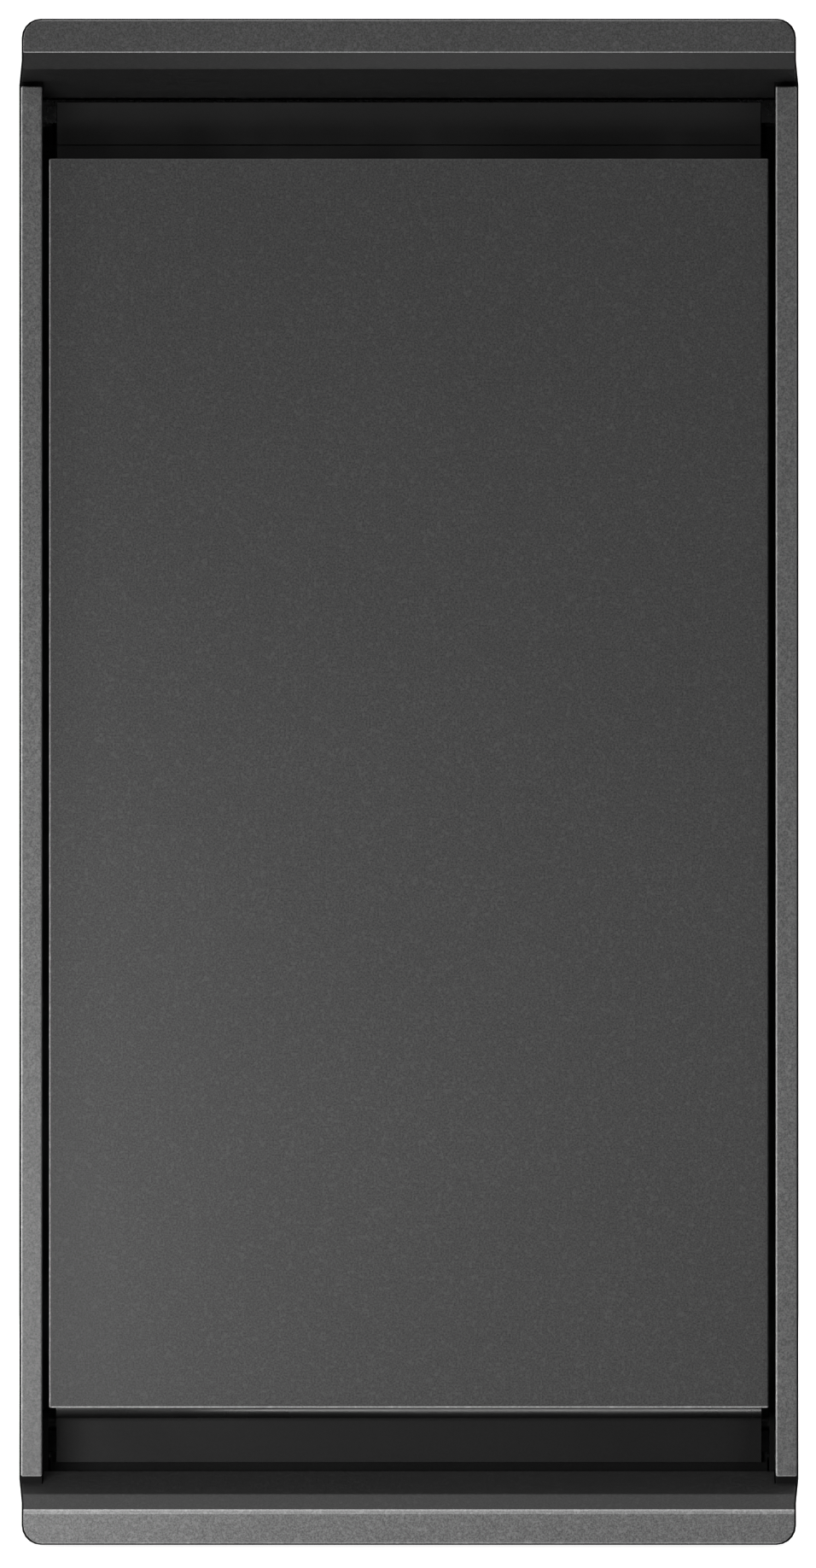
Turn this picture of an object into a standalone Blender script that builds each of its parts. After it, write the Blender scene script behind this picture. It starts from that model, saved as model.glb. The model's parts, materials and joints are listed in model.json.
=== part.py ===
"""Under-counter trash compactor: a plain inset drawer front between two thick caps, with the controls and the
finger pull hidden behind its top edge, a toe pedal under it, and a ram on two chain-driven power screws.

X points right as seen from the front, Y to the back and Z up, in metres. The origin is on the floor, under
the middle of the machine.
"""

import math

import bmesh
import bpy
from mathutils import Vector

# ---------------------------------------------------------------- overall size
WIDTH = 0.446
HEIGHT = 0.8735
DEPTH = 0.610
FLOOR_GAP = 0.0005  # front frame above the floor
BASE_HEIGHT = 0.0145  # underside of the base pan above the floor

# ---------------------------------------------------------------- fits
GAP = 0.0003  # between faces that touch
RUN = 0.0001  # between a shaft and its bore
SLIDE = 0.0015  # between pieces that pass each other

# ---------------------------------------------------------------- face: frame, caps, rails, drawer panel
FACE_CORNER = 0.011
FRAME_DEPTH = 0.012
FRAME_MEMBER = 0.016  # height of the frame's top and bottom members
FRAME_WAIST = 0.0014  # the frame is this much narrower each side beside the caps
CAP_REVEAL = 0.0015  # black frame edge left showing round a cap
RAIL_REVEAL = 0.0012
CAP_FACE = 0.020  # height of a cap's flat face
CAP_STANDOFF = 0.018  # cap faces stand this far in front of the rails
CAP_TAIL = 0.043  # depth of a cap, face to the end of its tail
CAP_EDGE_RADIUS = 0.0012
CAP_CREASE_RADIUS = 0.003
CAP_TAIL_CLEAR = 0.0005  # tail to the frame's sides
TOP_BREAK = (0.009, 0.0095)  # first slope under the top cap's face: back, down
TOP_SLOPE = 0.0155  # drop of the second slope, to the ceiling of the finger pull
TOP_EDGE_RADIUS = 0.0010
BOTTOM_BREAK = (0.0085, 0.0097)  # the same over the bottom cap's face: back, up
BOTTOM_SLOPE = 0.0121
BOTTOM_EDGE_RADIUS = 0.0040
RAIL_WIDTH = 0.0119
RAIL_THICK = 0.006
RAIL_LAP = 0.006  # a rail's top end reaches this far above the ceiling
RAIL_TOE_LAP = 0.0024  # its bottom end reaches this far below the sill
DRAWER_GAP = 0.004  # drawer panel to rail
PANEL_INSET = 0.009  # drawer panel behind the rails' face
PANEL_THICK = 0.006
PANEL_EDGE = 0.0007
PANEL_SHEET = 0.0015
PULL_HEIGHT = 0.035  # finger pull, ceiling to panel
TOE_HEIGHT = 0.0366  # toe recess, sill to panel

# ---------------------------------------------------------------- sheet metal
WRAP_SHEET = 0.0015
WRAP_INSET = 0.0015  # wrap inside the frame's outline
PAN_SHEET = 0.002
PAN_WALL = 0.034
BACK_INSET = 0.015
BACK_SHEET = 0.0015

# ---------------------------------------------------------------- drawer
CARRIER_WALL = 0.003
POCKET_WIDTH = 0.022  # room for fingers behind the panel
POCKET_DEPTH = 0.022
GRIP_THICK = 0.003
GRIP_HEIGHT = 0.025
PLATE_MARGIN = 0.0036  # grip plate and pedal are this much narrower each side than the panel
BEAD_HEIGHT = 0.0066
BEAD_DEPTH = 0.011
BIN_WALL = 0.0025
BIN_HEIGHT = 0.370
BIN_CLEAR = 0.005  # bin to power screw
BIN_REAR_CLEAR = 0.0159  # bin to motor
BIN_CORNER = 0.020

# ---------------------------------------------------------------- drawer slides
SHELF_RISE = 0.024  # track shelf above the drive cover
ROLLER_RADIUS = 0.008
ROLLER_WIDTH = 0.012
AXLE_RADIUS = 0.0025
AXLE_TIP = 0.0007  # axle past its roller
TRACK_SHEET = 0.002
TRACK_WIDTH = 0.020
TRACK_REAR = 0.0902  # end of the track to the back panel
RUNNER_TAIL = 0.030  # runner behind the bin

# ---------------------------------------------------------------- ram and drive
SCREW_RADIUS = 0.011
JOURNAL_RADIUS = 0.008
SPROCKET_TEETH = 12
CHAIN_PITCH = 0.009525
CHAIN_WIDTH = 0.006
CHAIN_REACH = 0.0043  # side plates outside the pitch line
CHAIN_CLEAR = 0.0010  # chain to the base pan's wall
PLATEN_MARGIN = (0.0095, 0.0137)  # platen to bin wall, sideways and lengthways
PLATEN_HEIGHT = 0.014
PLATEN_SHEET = 0.003
PLATEN_LIFT = 0.015  # platen above the bin at rest
RAM_BODY = (0.230, 0.230)
RAM_BODY_WALL = 0.003
RAM_BODY_CORNER = 0.008
CROSSHEAD = (0.056, 0.026)  # depth and height of the channel
CROSSHEAD_WALL = 0.003
NUT_WALL = 0.003
NUT_FLANGE = (0.0035, 0.0055)  # width outside the nut, and thickness
NUT_LENGTH = 0.033
HEAD_DROP = 0.0535  # underside of the head beam below the top
HEAD_CLEAR = 0.016  # head beam above the crosshead
HEAD_BEAM = (0.070, 0.014)
HEAD_BEAM_WALL = 0.003
BEARING_RADIUS = 0.014
MOTOR_RADIUS = 0.055
MOTOR_LENGTH = 0.140
GEARCASE = (0.116, 0.110, 0.043)

# ---------------------------------------------------------------- pedal, controls, rear fittings
PEDAL_HEIGHT = 0.0253
PEDAL_RISE = 0.0044  # pedal plate above the sill
PEDAL_THICK = 0.003
PEDAL_SHAFT_RADIUS = 0.004
PEDAL_ARM_X = 0.060
PEDAL_ARM_WIDTH = 0.006
STRIP_SIZE = (0.110, 0.018, 0.010)
STRIP_MARGIN = 0.0073  # end of the strip to the end of the pocket
BUTTON_RADIUS = 0.0065
BUTTON_TRAVEL = 0.0025
KEY_RADIUS = 0.0075
CONTROL_PITCH = 0.034
FOOT_RADIUS = 0.019
FOOT_STEM = 0.006
FOOT_NUT = 0.0115
FOOT_INSET = 0.035  # foot's centre in from the pan's edges
FILTER_SIZE = (0.180, 0.025, 0.120)
FILTER_DROP = 0.216  # middle of the filter below the top
FILTER_LEDGE = 0.008  # back panel over the filter's edge
COVER_LIP = 0.006
COVER_THICK = 0.004
LOUVRES = 6
LOUVRE_MARGIN = 0.020  # both ends of the row together
LOUVRE_SHARE = 0.56  # open part of the pitch
GLAND_AT = (-0.150, 0.110)  # x and z on the back panel
GLAND_BORE = 0.004
GLAND_NECK = 0.009
GLAND_FLANGE = (0.0125, 0.0044)  # radius and thickness
GLAND_PROUD = 0.012

# ---------------------------------------------------------------- worked-out places
Y_FACE = -DEPTH / 2
Y_RAIL = Y_FACE + CAP_STANDOFF
Y_RAIL_BACK = Y_RAIL + RAIL_THICK
Y_FRAME = Y_RAIL_BACK + GAP
Y_FRAME_BACK = Y_FRAME + FRAME_DEPTH
Y_TAIL = Y_FACE + CAP_TAIL
Y_WRAP = Y_FRAME_BACK + GAP
Y_REAR = DEPTH / 2
Y_BACK_PANEL = Y_REAR - BACK_INSET - BACK_SHEET
Y_PANEL = Y_RAIL + PANEL_INSET
Y_CARRIER = Y_PANEL + PANEL_THICK + GAP
Y_POCKET = Y_CARRIER + CARRIER_WALL
Y_GRIP = Y_POCKET + POCKET_WIDTH
Y_POCKET_WALL = Y_GRIP + GRIP_THICK + GAP
Y_BIN = Y_POCKET_WALL + CARRIER_WALL + 0.003
MOTOR_Y = Y_BACK_PANEL - MOTOR_RADIUS - 0.013
Y_BIN_BACK = MOTOR_Y - MOTOR_RADIUS - BIN_REAR_CLEAR
Y_RAM = (Y_BIN + Y_BIN_BACK) / 2
BIN_LENGTH = Y_BIN_BACK - Y_BIN

Z_TOP_EDGE = HEIGHT - CAP_FACE
Z_CEILING = Z_TOP_EDGE - TOP_BREAK[1] - TOP_SLOPE
Z_BOTTOM_EDGE = FLOOR_GAP + CAP_FACE
Z_SILL = Z_BOTTOM_EDGE + BOTTOM_BREAK[1] + BOTTOM_SLOPE
Z_PANEL_TOP = Z_CEILING - PULL_HEIGHT
Z_PANEL_BOTTOM = Z_SILL + TOE_HEIGHT
Z_POCKET_FLOOR = Z_PANEL_TOP - POCKET_DEPTH
Z_GRIP_TOP = Z_CEILING - SLIDE
Z_PAN = BASE_HEIGHT + PAN_SHEET
Z_COVER = BASE_HEIGHT + PAN_WALL + GAP
Z_COVER_TOP = Z_COVER + WRAP_SHEET
Z_SHELF = Z_COVER_TOP + GAP + SHELF_RISE
Z_SHELF_TOP = Z_SHELF + TRACK_SHEET
Z_FLANGE = Z_SHELF_TOP + 2 * ROLLER_RADIUS + 0.001
Z_DRAWER_FLOOR = Z_FLANGE + TRACK_SHEET + 0.001
Z_BIN = Z_DRAWER_FLOOR + TRACK_SHEET + GAP
Z_BIN_TOP = Z_BIN + BIN_HEIGHT
Z_PLATEN = Z_BIN_TOP + PLATEN_LIFT
Z_RAM_BODY = Z_PLATEN + PLATEN_SHEET + GAP
Z_HEAD = HEIGHT - HEAD_DROP
Z_CROSSHEAD_TOP = Z_HEAD - HEAD_CLEAR
Z_CROSSHEAD = Z_CROSSHEAD_TOP - CROSSHEAD[1]
Z_CHAIN = Z_PAN + 0.013
FILTER_Z = HEIGHT - FILTER_DROP

HALF = WIDTH / 2
CAP_HALF = HALF - FRAME_WAIST - CAP_REVEAL
RAIL_OUTER = HALF - RAIL_REVEAL
RAIL_INNER = RAIL_OUTER - RAIL_WIDTH
PANEL_HALF = RAIL_INNER - DRAWER_GAP
PLATE_HALF = PANEL_HALF - PLATE_MARGIN
STRIP_X = PLATE_HALF - STRIP_MARGIN - STRIP_SIZE[0] / 2
WRAP_HALF = HALF - WRAP_INSET
WRAP_INNER = WRAP_HALF - WRAP_SHEET
PITCH_RADIUS = CHAIN_PITCH / (2 * math.sin(math.pi / SPROCKET_TEETH))
PAN_HALF = WRAP_INNER - GAP
SCREW_X = PAN_HALF - PAN_SHEET - CHAIN_CLEAR - CHAIN_REACH - PITCH_RADIUS
BIN_HALF = SCREW_X - SCREW_RADIUS - BIN_CLEAR
NUT_RADIUS = SCREW_RADIUS + NUT_WALL
FLANGE_RADIUS = NUT_RADIUS + NUT_FLANGE[0]
TRACK_X = BIN_HALF - TRACK_WIDTH  # inner edge of the track's shelf
ROLLER_X = TRACK_X + TRACK_WIDTH / 2 - 0.0025
RUNNER_X = TRACK_X - TRACK_SHEET
PEDAL_Y = Y_GRIP + 0.0117
PEDAL_Z = Z_SILL + PEDAL_RISE + PEDAL_HEIGHT - 0.0035
SIDES = {"left": -1, "right": 1}

# ---------------------------------------------------------------- finishes: colour, roughness, metallic
FINISHES = {
    "charcoal_coat": ((0.075, 0.075, 0.078), 0.55, 0.1),
    "black_frame": ((0.010, 0.010, 0.011), 0.45, 0.0),
    "black_plastic": ((0.018, 0.019, 0.019), 0.5, 0.0),
    "cabinet_paint": ((0.040, 0.040, 0.042), 0.5, 0.1),
    "zinc_steel": ((0.55, 0.55, 0.54), 0.35, 0.9),
    "machined_steel": ((0.50, 0.50, 0.51), 0.25, 1.0),
    "bronze": ((0.45, 0.30, 0.13), 0.35, 1.0),
    "bin_plastic": ((0.24, 0.24, 0.25), 0.5, 0.0),
    "ram_paint": ((0.30, 0.31, 0.32), 0.45, 0.2),
    "motor_paint": ((0.018, 0.019, 0.019), 0.4, 0.1),
    "cast_alloy": ((0.50, 0.50, 0.51), 0.5, 0.9),
    "nylon": ((0.72, 0.71, 0.67), 0.5, 0.0),
    "rubber": ((0.015, 0.015, 0.016), 0.8, 0.0),
    "start_green": ((0.03, 0.22, 0.08), 0.4, 0.0),
    "stop_red": ((0.35, 0.03, 0.025), 0.4, 0.0),
    "filter_carbon": ((0.03, 0.03, 0.03), 0.9, 0.0),
}


# ---------------------------------------------------------------- helpers
def clear_scene():
    for obj in list(bpy.data.objects):
        bpy.data.objects.remove(obj)


def new_collection(name):
    collection = bpy.data.collections.new(name)
    bpy.context.scene.collection.children.link(collection)
    return collection


def finish(name):
    """The Principled material of that finish, made once."""
    found = bpy.data.materials.get(name)
    if found:
        return found
    colour, roughness, metallic = FINISHES[name]
    made = bpy.data.materials.new(name)
    made.use_nodes = True
    shader = made.node_tree.nodes["Principled BSDF"]
    shader.inputs["Base Color"].default_value = (*colour, 1)
    shader.inputs["Roughness"].default_value = roughness
    shader.inputs["Metallic"].default_value = metallic
    return made


def add(name, data, coat):
    """Links a new object, in the cutters' collection when it has no finish."""
    obj = bpy.data.objects.new(name, data)
    if coat is None:
        CUTTERS.objects.link(obj)
        obj.hide_render = True
        obj.display_type = "WIRE"
    else:
        MODEL.objects.link(obj)
        data.materials.append(finish(coat))
    return obj


def soften(obj, width, segments=2):
    """Rounds the sharp edges."""
    weld = obj.modifiers.new("weld", "WELD")
    weld.merge_threshold = 0.00002
    bevel = obj.modifiers.new("bevel", "BEVEL")
    bevel.width = width
    bevel.segments = segments
    bevel.limit_method = "ANGLE"
    bevel.angle_limit = math.radians(35)
    return obj


def block(name, x, y, z, coat, edge=0.0):
    """A box between two limits on each axis."""
    mesh = bpy.data.meshes.new(name)
    bm = bmesh.new()
    bmesh.ops.create_cube(bm, size=1)
    bmesh.ops.scale(bm, vec=(x[1] - x[0], y[1] - y[0], z[1] - z[0]), verts=bm.verts)
    bm.to_mesh(mesh)
    bm.free()
    obj = add(name, mesh, coat)
    obj.location = (sum(x) / 2, sum(y) / 2, sum(z) / 2)
    if edge:
        soften(obj, edge)
    return obj


def rounded(corners, step=math.radians(18)):
    """A closed outline through (x, y, radius) corners, each turned into an arc of that radius."""
    points = []
    count = len(corners)
    for i, (x, y, radius) in enumerate(corners):
        here = Vector((x, y))
        if not radius:
            points.append(here)
            continue
        before = (Vector(corners[i - 1][:2]) - here).normalized()
        after = (Vector(corners[(i + 1) % count][:2]) - here).normalized()
        half = before.angle(after) / 2
        centre = here + (before + after).normalized() * (radius / math.sin(half))
        start = here + before * (radius / math.tan(half)) - centre
        turn = math.pi - 2 * half
        side = 1 if before.cross(after) < 0 else -1
        pieces = max(2, math.ceil(turn / step))
        for k in range(pieces + 1):
            angle = side * turn * k / pieces
            c, s = math.cos(angle), math.sin(angle)
            points.append(centre + Vector((start.x * c - start.y * s, start.x * s + start.y * c)))
    return points


def circle(x, y, radius, count=24):
    return [
        Vector((x + radius * math.cos(a), y + radius * math.sin(a)))
        for a in (2 * math.pi * k / count for k in range(count))
    ]


def prism(name, outline, axis, low, high, coat, holes=(), edge=0.0):
    """A flat outline run from low to high along an axis: drawn in XY for Z, in XZ for Y and in YZ for X."""
    curve = bpy.data.curves.new(name, "CURVE")
    curve.dimensions = "2D"
    curve.fill_mode = "BOTH"
    curve.extrude = (high - low) / 2
    for ring in (outline, *holes):
        spline = curve.splines.new("POLY")
        spline.points.add(len(ring) - 1)
        for point, (u, v) in zip(spline.points, ring):
            point.co = (u, v, 0, 1)
        spline.use_cyclic_u = True
    obj = add(name, curve, coat)
    middle = (low + high) / 2
    if axis == "X":
        obj.rotation_euler = (math.pi / 2, 0, math.pi / 2)
        obj.location.x = middle
    elif axis == "Y":
        obj.rotation_euler = (math.pi / 2, 0, 0)
        obj.location.y = middle
    else:
        obj.location.z = middle
    if edge:
        soften(obj, edge)
    return obj


def as_mesh(obj):
    """The curve object made a mesh object of the same name and place, with its caps welded."""
    if obj.type == "MESH":
        return obj
    bpy.context.view_layer.update()
    evaluated = obj.evaluated_get(bpy.context.evaluated_depsgraph_get())
    mesh = bpy.data.meshes.new_from_object(evaluated)
    bm = bmesh.new()
    bm.from_mesh(mesh)
    bmesh.ops.remove_doubles(bm, verts=bm.verts, dist=0.00002)
    bmesh.ops.recalc_face_normals(bm, faces=bm.faces)
    bm.to_mesh(mesh)
    bm.free()
    made = bpy.data.objects.new(obj.name, mesh)
    for collection in obj.users_collection:
        collection.objects.link(made)
    made.matrix_world = obj.matrix_world
    made.hide_render = obj.hide_render
    made.display_type = obj.display_type
    name = obj.name
    bpy.data.objects.remove(obj)
    made.name = name
    return made


def combine(obj, other, operation):
    """A Boolean of obj with other, which becomes a hidden helper."""
    obj = as_mesh(obj)
    other = as_mesh(other)
    boolean = obj.modifiers.new(operation.lower(), "BOOLEAN")
    boolean.operation = operation
    boolean.solver = "EXACT"
    boolean.object = other
    return obj


def cut(obj, cutter):
    return combine(obj, cutter, "DIFFERENCE")


def fuse(obj, other):
    return combine(obj, other, "UNION")


def rod(name, centre, length, radius, axis, coat, sides=24, edge=0.0):
    mesh = bpy.data.meshes.new(name)
    bm = bmesh.new()
    bmesh.ops.create_cone(bm, cap_ends=True, segments=sides, radius1=radius, radius2=radius, depth=length)
    bm.to_mesh(mesh)
    bm.free()
    obj = add(name, mesh, coat)
    obj.location = centre
    obj.rotation_euler = {"X": (0, math.pi / 2, 0), "Y": (math.pi / 2, 0, 0), "Z": (0, 0, 0)}[axis]
    if edge:
        soften(obj, edge)
    return obj


def turned(name, profile, centre, coat, axis="Z", closed=False, steps=28):
    """A profile of (radius, height) points spun about an axis. It runs down its outer side."""
    mesh = bpy.data.meshes.new(name)
    count = len(profile)
    edges = [(i, i + 1) for i in range(count - 1)]
    if closed:
        edges.append((count - 1, 0))
    mesh.from_pydata([(radius, 0, height) for radius, height in profile], edges, [])
    obj = add(name, mesh, coat)
    obj.location = centre
    if axis == "X":
        obj.rotation_euler = (0, math.pi / 2, 0)
    elif axis == "Y":
        obj.rotation_euler = (-math.pi / 2, 0, 0)
    screw = obj.modifiers.new("spin", "SCREW")
    screw.steps = steps
    screw.render_steps = steps
    screw.use_merge_vertices = True
    screw.merge_threshold = 0.00001
    return obj


def ring(name, inner, outer, low, high, centre, coat, axis="Z", edge=0.0006, steps=28):
    """A bush: a tube with its outer edges broken."""
    profile = [
        (inner, high),
        (outer - edge, high),
        (outer, high - edge),
        (outer, low + edge),
        (outer - edge, low),
        (inner, low),
    ]
    return turned(name, profile, centre, coat, axis, closed=True, steps=steps)


def hang(place, *members):
    """Parents the members to an empty on their joint's axis."""
    pivot = bpy.data.objects.new(members[0].name + "_pivot", None)
    MODEL.objects.link(pivot)
    pivot.location = place
    bpy.context.view_layer.update()
    for member in members:
        member.parent = pivot
        member.matrix_parent_inverse = pivot.matrix_world.inverted()


# ---------------------------------------------------------------- the face
def face_outline(inset, top_z, bottom_z):
    """The front frame's silhouette, or one inset from it: rounded corners, and a waist beside each cap."""
    wide = HALF - inset
    narrow = wide - FRAME_WAIST
    corner = FACE_CORNER
    flare_top = (Z_TOP_EDGE - 0.004, Z_CEILING + 0.007)
    flare_bottom = (Z_BOTTOM_EDGE + 0.004, Z_SILL - 0.004)
    half = [
        (narrow, top_z, corner),
        (narrow, flare_top[0], 0.010),
        (wide, flare_top[1], 0.010),
        (wide, flare_bottom[1], 0.010),
        (narrow, flare_bottom[0], 0.010),
        (narrow, bottom_z, corner),
    ]
    return rounded(half + [(-x, z, r) for x, z, r in reversed(half)])


def make_front_frame():
    opening = [(x, z) for x, z in (
        (RAIL_INNER, HEIGHT - FRAME_MEMBER),
        (-RAIL_INNER, HEIGHT - FRAME_MEMBER),
        (-RAIL_INNER, FLOOR_GAP + FRAME_MEMBER),
        (RAIL_INNER, FLOOR_GAP + FRAME_MEMBER),
    )]
    outside = face_outline(0, HEIGHT, FLOOR_GAP)
    prism("front_frame", outside, "Y", Y_FRAME, Y_FRAME_BACK, "black_frame", [opening])


def cap_section(outer, away, break_by, slope, edge_radius):
    """Side profile of a cap. away is -1 for the top cap, whose profile runs down from its top, else 1."""
    edge = outer + away * (CAP_FACE - CAP_REVEAL)
    crease = edge + away * break_by[1]
    end = crease + away * slope
    shoulder = outer + away * (FRAME_MEMBER + GAP - CAP_REVEAL)
    return rounded([
        (Y_RAIL_BACK, outer, 0),
        (Y_FACE, outer, CAP_EDGE_RADIUS),
        (Y_FACE, edge, edge_radius),
        (Y_FACE + break_by[0], crease, CAP_CREASE_RADIUS),
        (Y_TAIL, end, CAP_EDGE_RADIUS / 2),
        (Y_TAIL, shoulder, 0),
        (Y_RAIL_BACK, shoulder, 0),
    ])


def make_cap(name, outer, away, break_by, slope, edge_radius):
    section = cap_section(outer, away, break_by, slope, edge_radius)
    cap = as_mesh(prism(name, section, "X", -HALF, HALF, "charcoal_coat"))
    face = face_outline(CAP_REVEAL, HEIGHT - CAP_REVEAL, FLOOR_GAP + CAP_REVEAL)
    mask = prism(name + "_outline", face, "Y", Y_FACE - 0.01, Y_TAIL + 0.01, None)
    combine(cap, mask, "INTERSECT")
    tail_half = RAIL_INNER - CAP_TAIL_CLEAR
    for side, way in SIDES.items():
        x = sorted((way * tail_half, way * (HALF + 0.01)))
        z = sorted((outer - away * 0.01, outer + away * 0.08))
        cut(cap, block(f"{name}_tail_{side}", x, (Y_RAIL_BACK, Y_TAIL + 0.01), z, None))


def make_face():
    make_front_frame()
    make_cap("top_cap", HEIGHT - CAP_REVEAL, -1, TOP_BREAK, TOP_SLOPE, TOP_EDGE_RADIUS)
    make_cap("bottom_cap", FLOOR_GAP + CAP_REVEAL, 1, BOTTOM_BREAK, BOTTOM_SLOPE, BOTTOM_EDGE_RADIUS)
    for side, way in SIDES.items():
        x = sorted((way * RAIL_INNER, way * RAIL_OUTER))
        z = (Z_SILL - RAIL_TOE_LAP, Z_CEILING + RAIL_LAP)
        block(f"side_rail_{side}", x, (Y_RAIL, Y_RAIL_BACK), z, "charcoal_coat", PANEL_EDGE)


# ---------------------------------------------------------------- cabinet
def make_cabinet():
    corner = FACE_CORNER - WRAP_INSET
    foot = BASE_HEIGHT - 0.002
    top = HEIGHT - WRAP_INSET
    outside = [(WRAP_HALF, foot, 0), (WRAP_HALF, top, corner)]
    outside += [(-x, z, r) for x, z, r in reversed(outside)]
    inside = [(-WRAP_INNER, foot, 0), (-WRAP_INNER, top - WRAP_SHEET, corner - WRAP_SHEET)]
    inside += [(-x, z, r) for x, z, r in reversed(inside)]
    prism("cabinet_wrap", rounded(outside + inside), "Y", Y_WRAP, Y_REAR, "cabinet_paint")

    wall_top, inner = BASE_HEIGHT + PAN_WALL, PAN_HALF - PAN_SHEET
    half = [(PAN_HALF, BASE_HEIGHT), (PAN_HALF, wall_top), (inner, wall_top), (inner, Z_PAN)]
    pan = half + [(-x, z) for x, z in reversed(half)]
    prism("base_pan", pan, "Y", Y_WRAP, Y_BACK_PANEL - GAP, "zinc_steel")

    lid = top - WRAP_SHEET - GAP
    outline = [(PAN_HALF, BASE_HEIGHT, 0), (PAN_HALF, lid, corner)]
    outline += [(-x, z, r) for x, z, r in reversed(outline)]
    outside = Y_BACK_PANEL + BACK_SHEET
    back = prism("back_panel", rounded(outline), "Y", Y_BACK_PANEL, outside, "cabinet_paint")
    wide, tall = FILTER_SIZE[0] / 2 - FILTER_LEDGE, FILTER_SIZE[2] / 2 - FILTER_LEDGE
    window = block("filter_window", (-wide, wide), (Y_BACK_PANEL - 0.01, Y_BACK_PANEL + 0.01),
                   (FILTER_Z - tall, FILTER_Z + tall), None)
    gland_at = (GLAND_AT[0], Y_BACK_PANEL, GLAND_AT[1])
    cut(cut(back, window), rod("gland_hole", gland_at, 0.03, GLAND_NECK + 2 * GAP, "Y", None))

    stem_top, rim = BASE_HEIGHT - GAP, FOOT_RADIUS
    profile = [(0, stem_top), (FOOT_STEM, stem_top), (FOOT_STEM, 0.009), (FOOT_NUT, 0.009), (FOOT_NUT, 0.006)]
    profile += [(rim, 0.0045), (rim, 0.001), (rim - 0.001, 0), (0, 0)]
    for end, y in (("front", Y_WRAP + FOOT_INSET), ("rear", Y_BACK_PANEL - FOOT_INSET)):
        for side, way in SIDES.items():
            turned(f"foot_{end}_{side}", profile, (way * (PAN_HALF - FOOT_INSET), y, 0), "rubber", steps=24)


def make_rear_fittings():
    """The odour filter behind its louvred cover, and the gland that the power cord enters by."""
    wide, deep, tall = FILTER_SIZE
    filter_back = Y_BACK_PANEL - GAP
    block("charcoal_filter", (-wide / 2, wide / 2), (filter_back - deep, filter_back),
          (FILTER_Z - tall / 2, FILTER_Z + tall / 2), "filter_carbon", 0.001)
    front = Y_BACK_PANEL + BACK_SHEET + GAP
    lip_x, lip_z = wide / 2 + COVER_LIP, tall / 2 + COVER_LIP
    cover = block("filter_cover", (-lip_x, lip_x), (front, front + COVER_THICK),
                  (FILTER_Z - lip_z, FILTER_Z + lip_z), "black_plastic")
    reach = wide / 2 - 2 * COVER_LIP
    pitch = (tall - LOUVRE_MARGIN) / LOUVRES
    for k in range(LOUVRES):
        z = FILTER_Z + (k - (LOUVRES - 1) / 2) * pitch
        slot = block(f"louvre_{k}", (-reach, reach), (front - 0.01, front + 0.02),
                     (z - pitch * LOUVRE_SHARE / 2, z + pitch * LOUVRE_SHARE / 2), None)
        cut(cover, slot)
    tail = -(BACK_SHEET + 0.011)
    shoulder = BACK_SHEET + 2 * GAP
    profile = [
        (GLAND_BORE, GLAND_PROUD),
        (GLAND_NECK - 0.0005, GLAND_PROUD),
        (GLAND_NECK + 0.0002, GLAND_PROUD - 0.001),
        (GLAND_NECK + 0.0002, shoulder + GLAND_FLANGE[1]),
        (GLAND_FLANGE[0], shoulder + GLAND_FLANGE[1]),
        (GLAND_FLANGE[0], shoulder),
        (GLAND_NECK, shoulder),
        (GLAND_NECK, tail),
        (GLAND_BORE, tail),
    ]
    turned("cord_gland", profile, (GLAND_AT[0], Y_BACK_PANEL, GLAND_AT[1]), "black_plastic", "Y", closed=True)


# ---------------------------------------------------------------- drive
def belt(centres, radius, step=math.radians(15)):
    """The loop a belt takes round equal wheels at centres, listed anticlockwise."""
    points = []
    count = len(centres)
    for i, centre in enumerate(centres):
        arriving = Vector(centre) - Vector(centres[i - 1])
        leaving = Vector(centres[(i + 1) % count]) - Vector(centre)
        start = math.atan2(arriving.y, arriving.x) - math.pi / 2
        turn = (math.atan2(leaving.y, leaving.x) - math.pi / 2 - start) % (2 * math.pi)
        pieces = max(2, math.ceil(turn / step))
        for k in range(pieces + 1):
            angle = start + turn * k / pieces
            points.append((centre[0] + radius * math.cos(angle), centre[1] + radius * math.sin(angle)))
    return points


def sprocket_outline(x, y):
    root, tip = PITCH_RADIUS - 0.0027, PITCH_RADIUS + 0.0006
    shares = ((-0.36, root), (-0.14, tip), (0.14, tip), (0.36, root))
    pitch = 2 * math.pi / SPROCKET_TEETH
    return [
        (x + radius * math.cos((tooth + share) * pitch), y + radius * math.sin((tooth + share) * pitch))
        for tooth in range(SPROCKET_TEETH)
        for share, radius in shares
    ]


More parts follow.
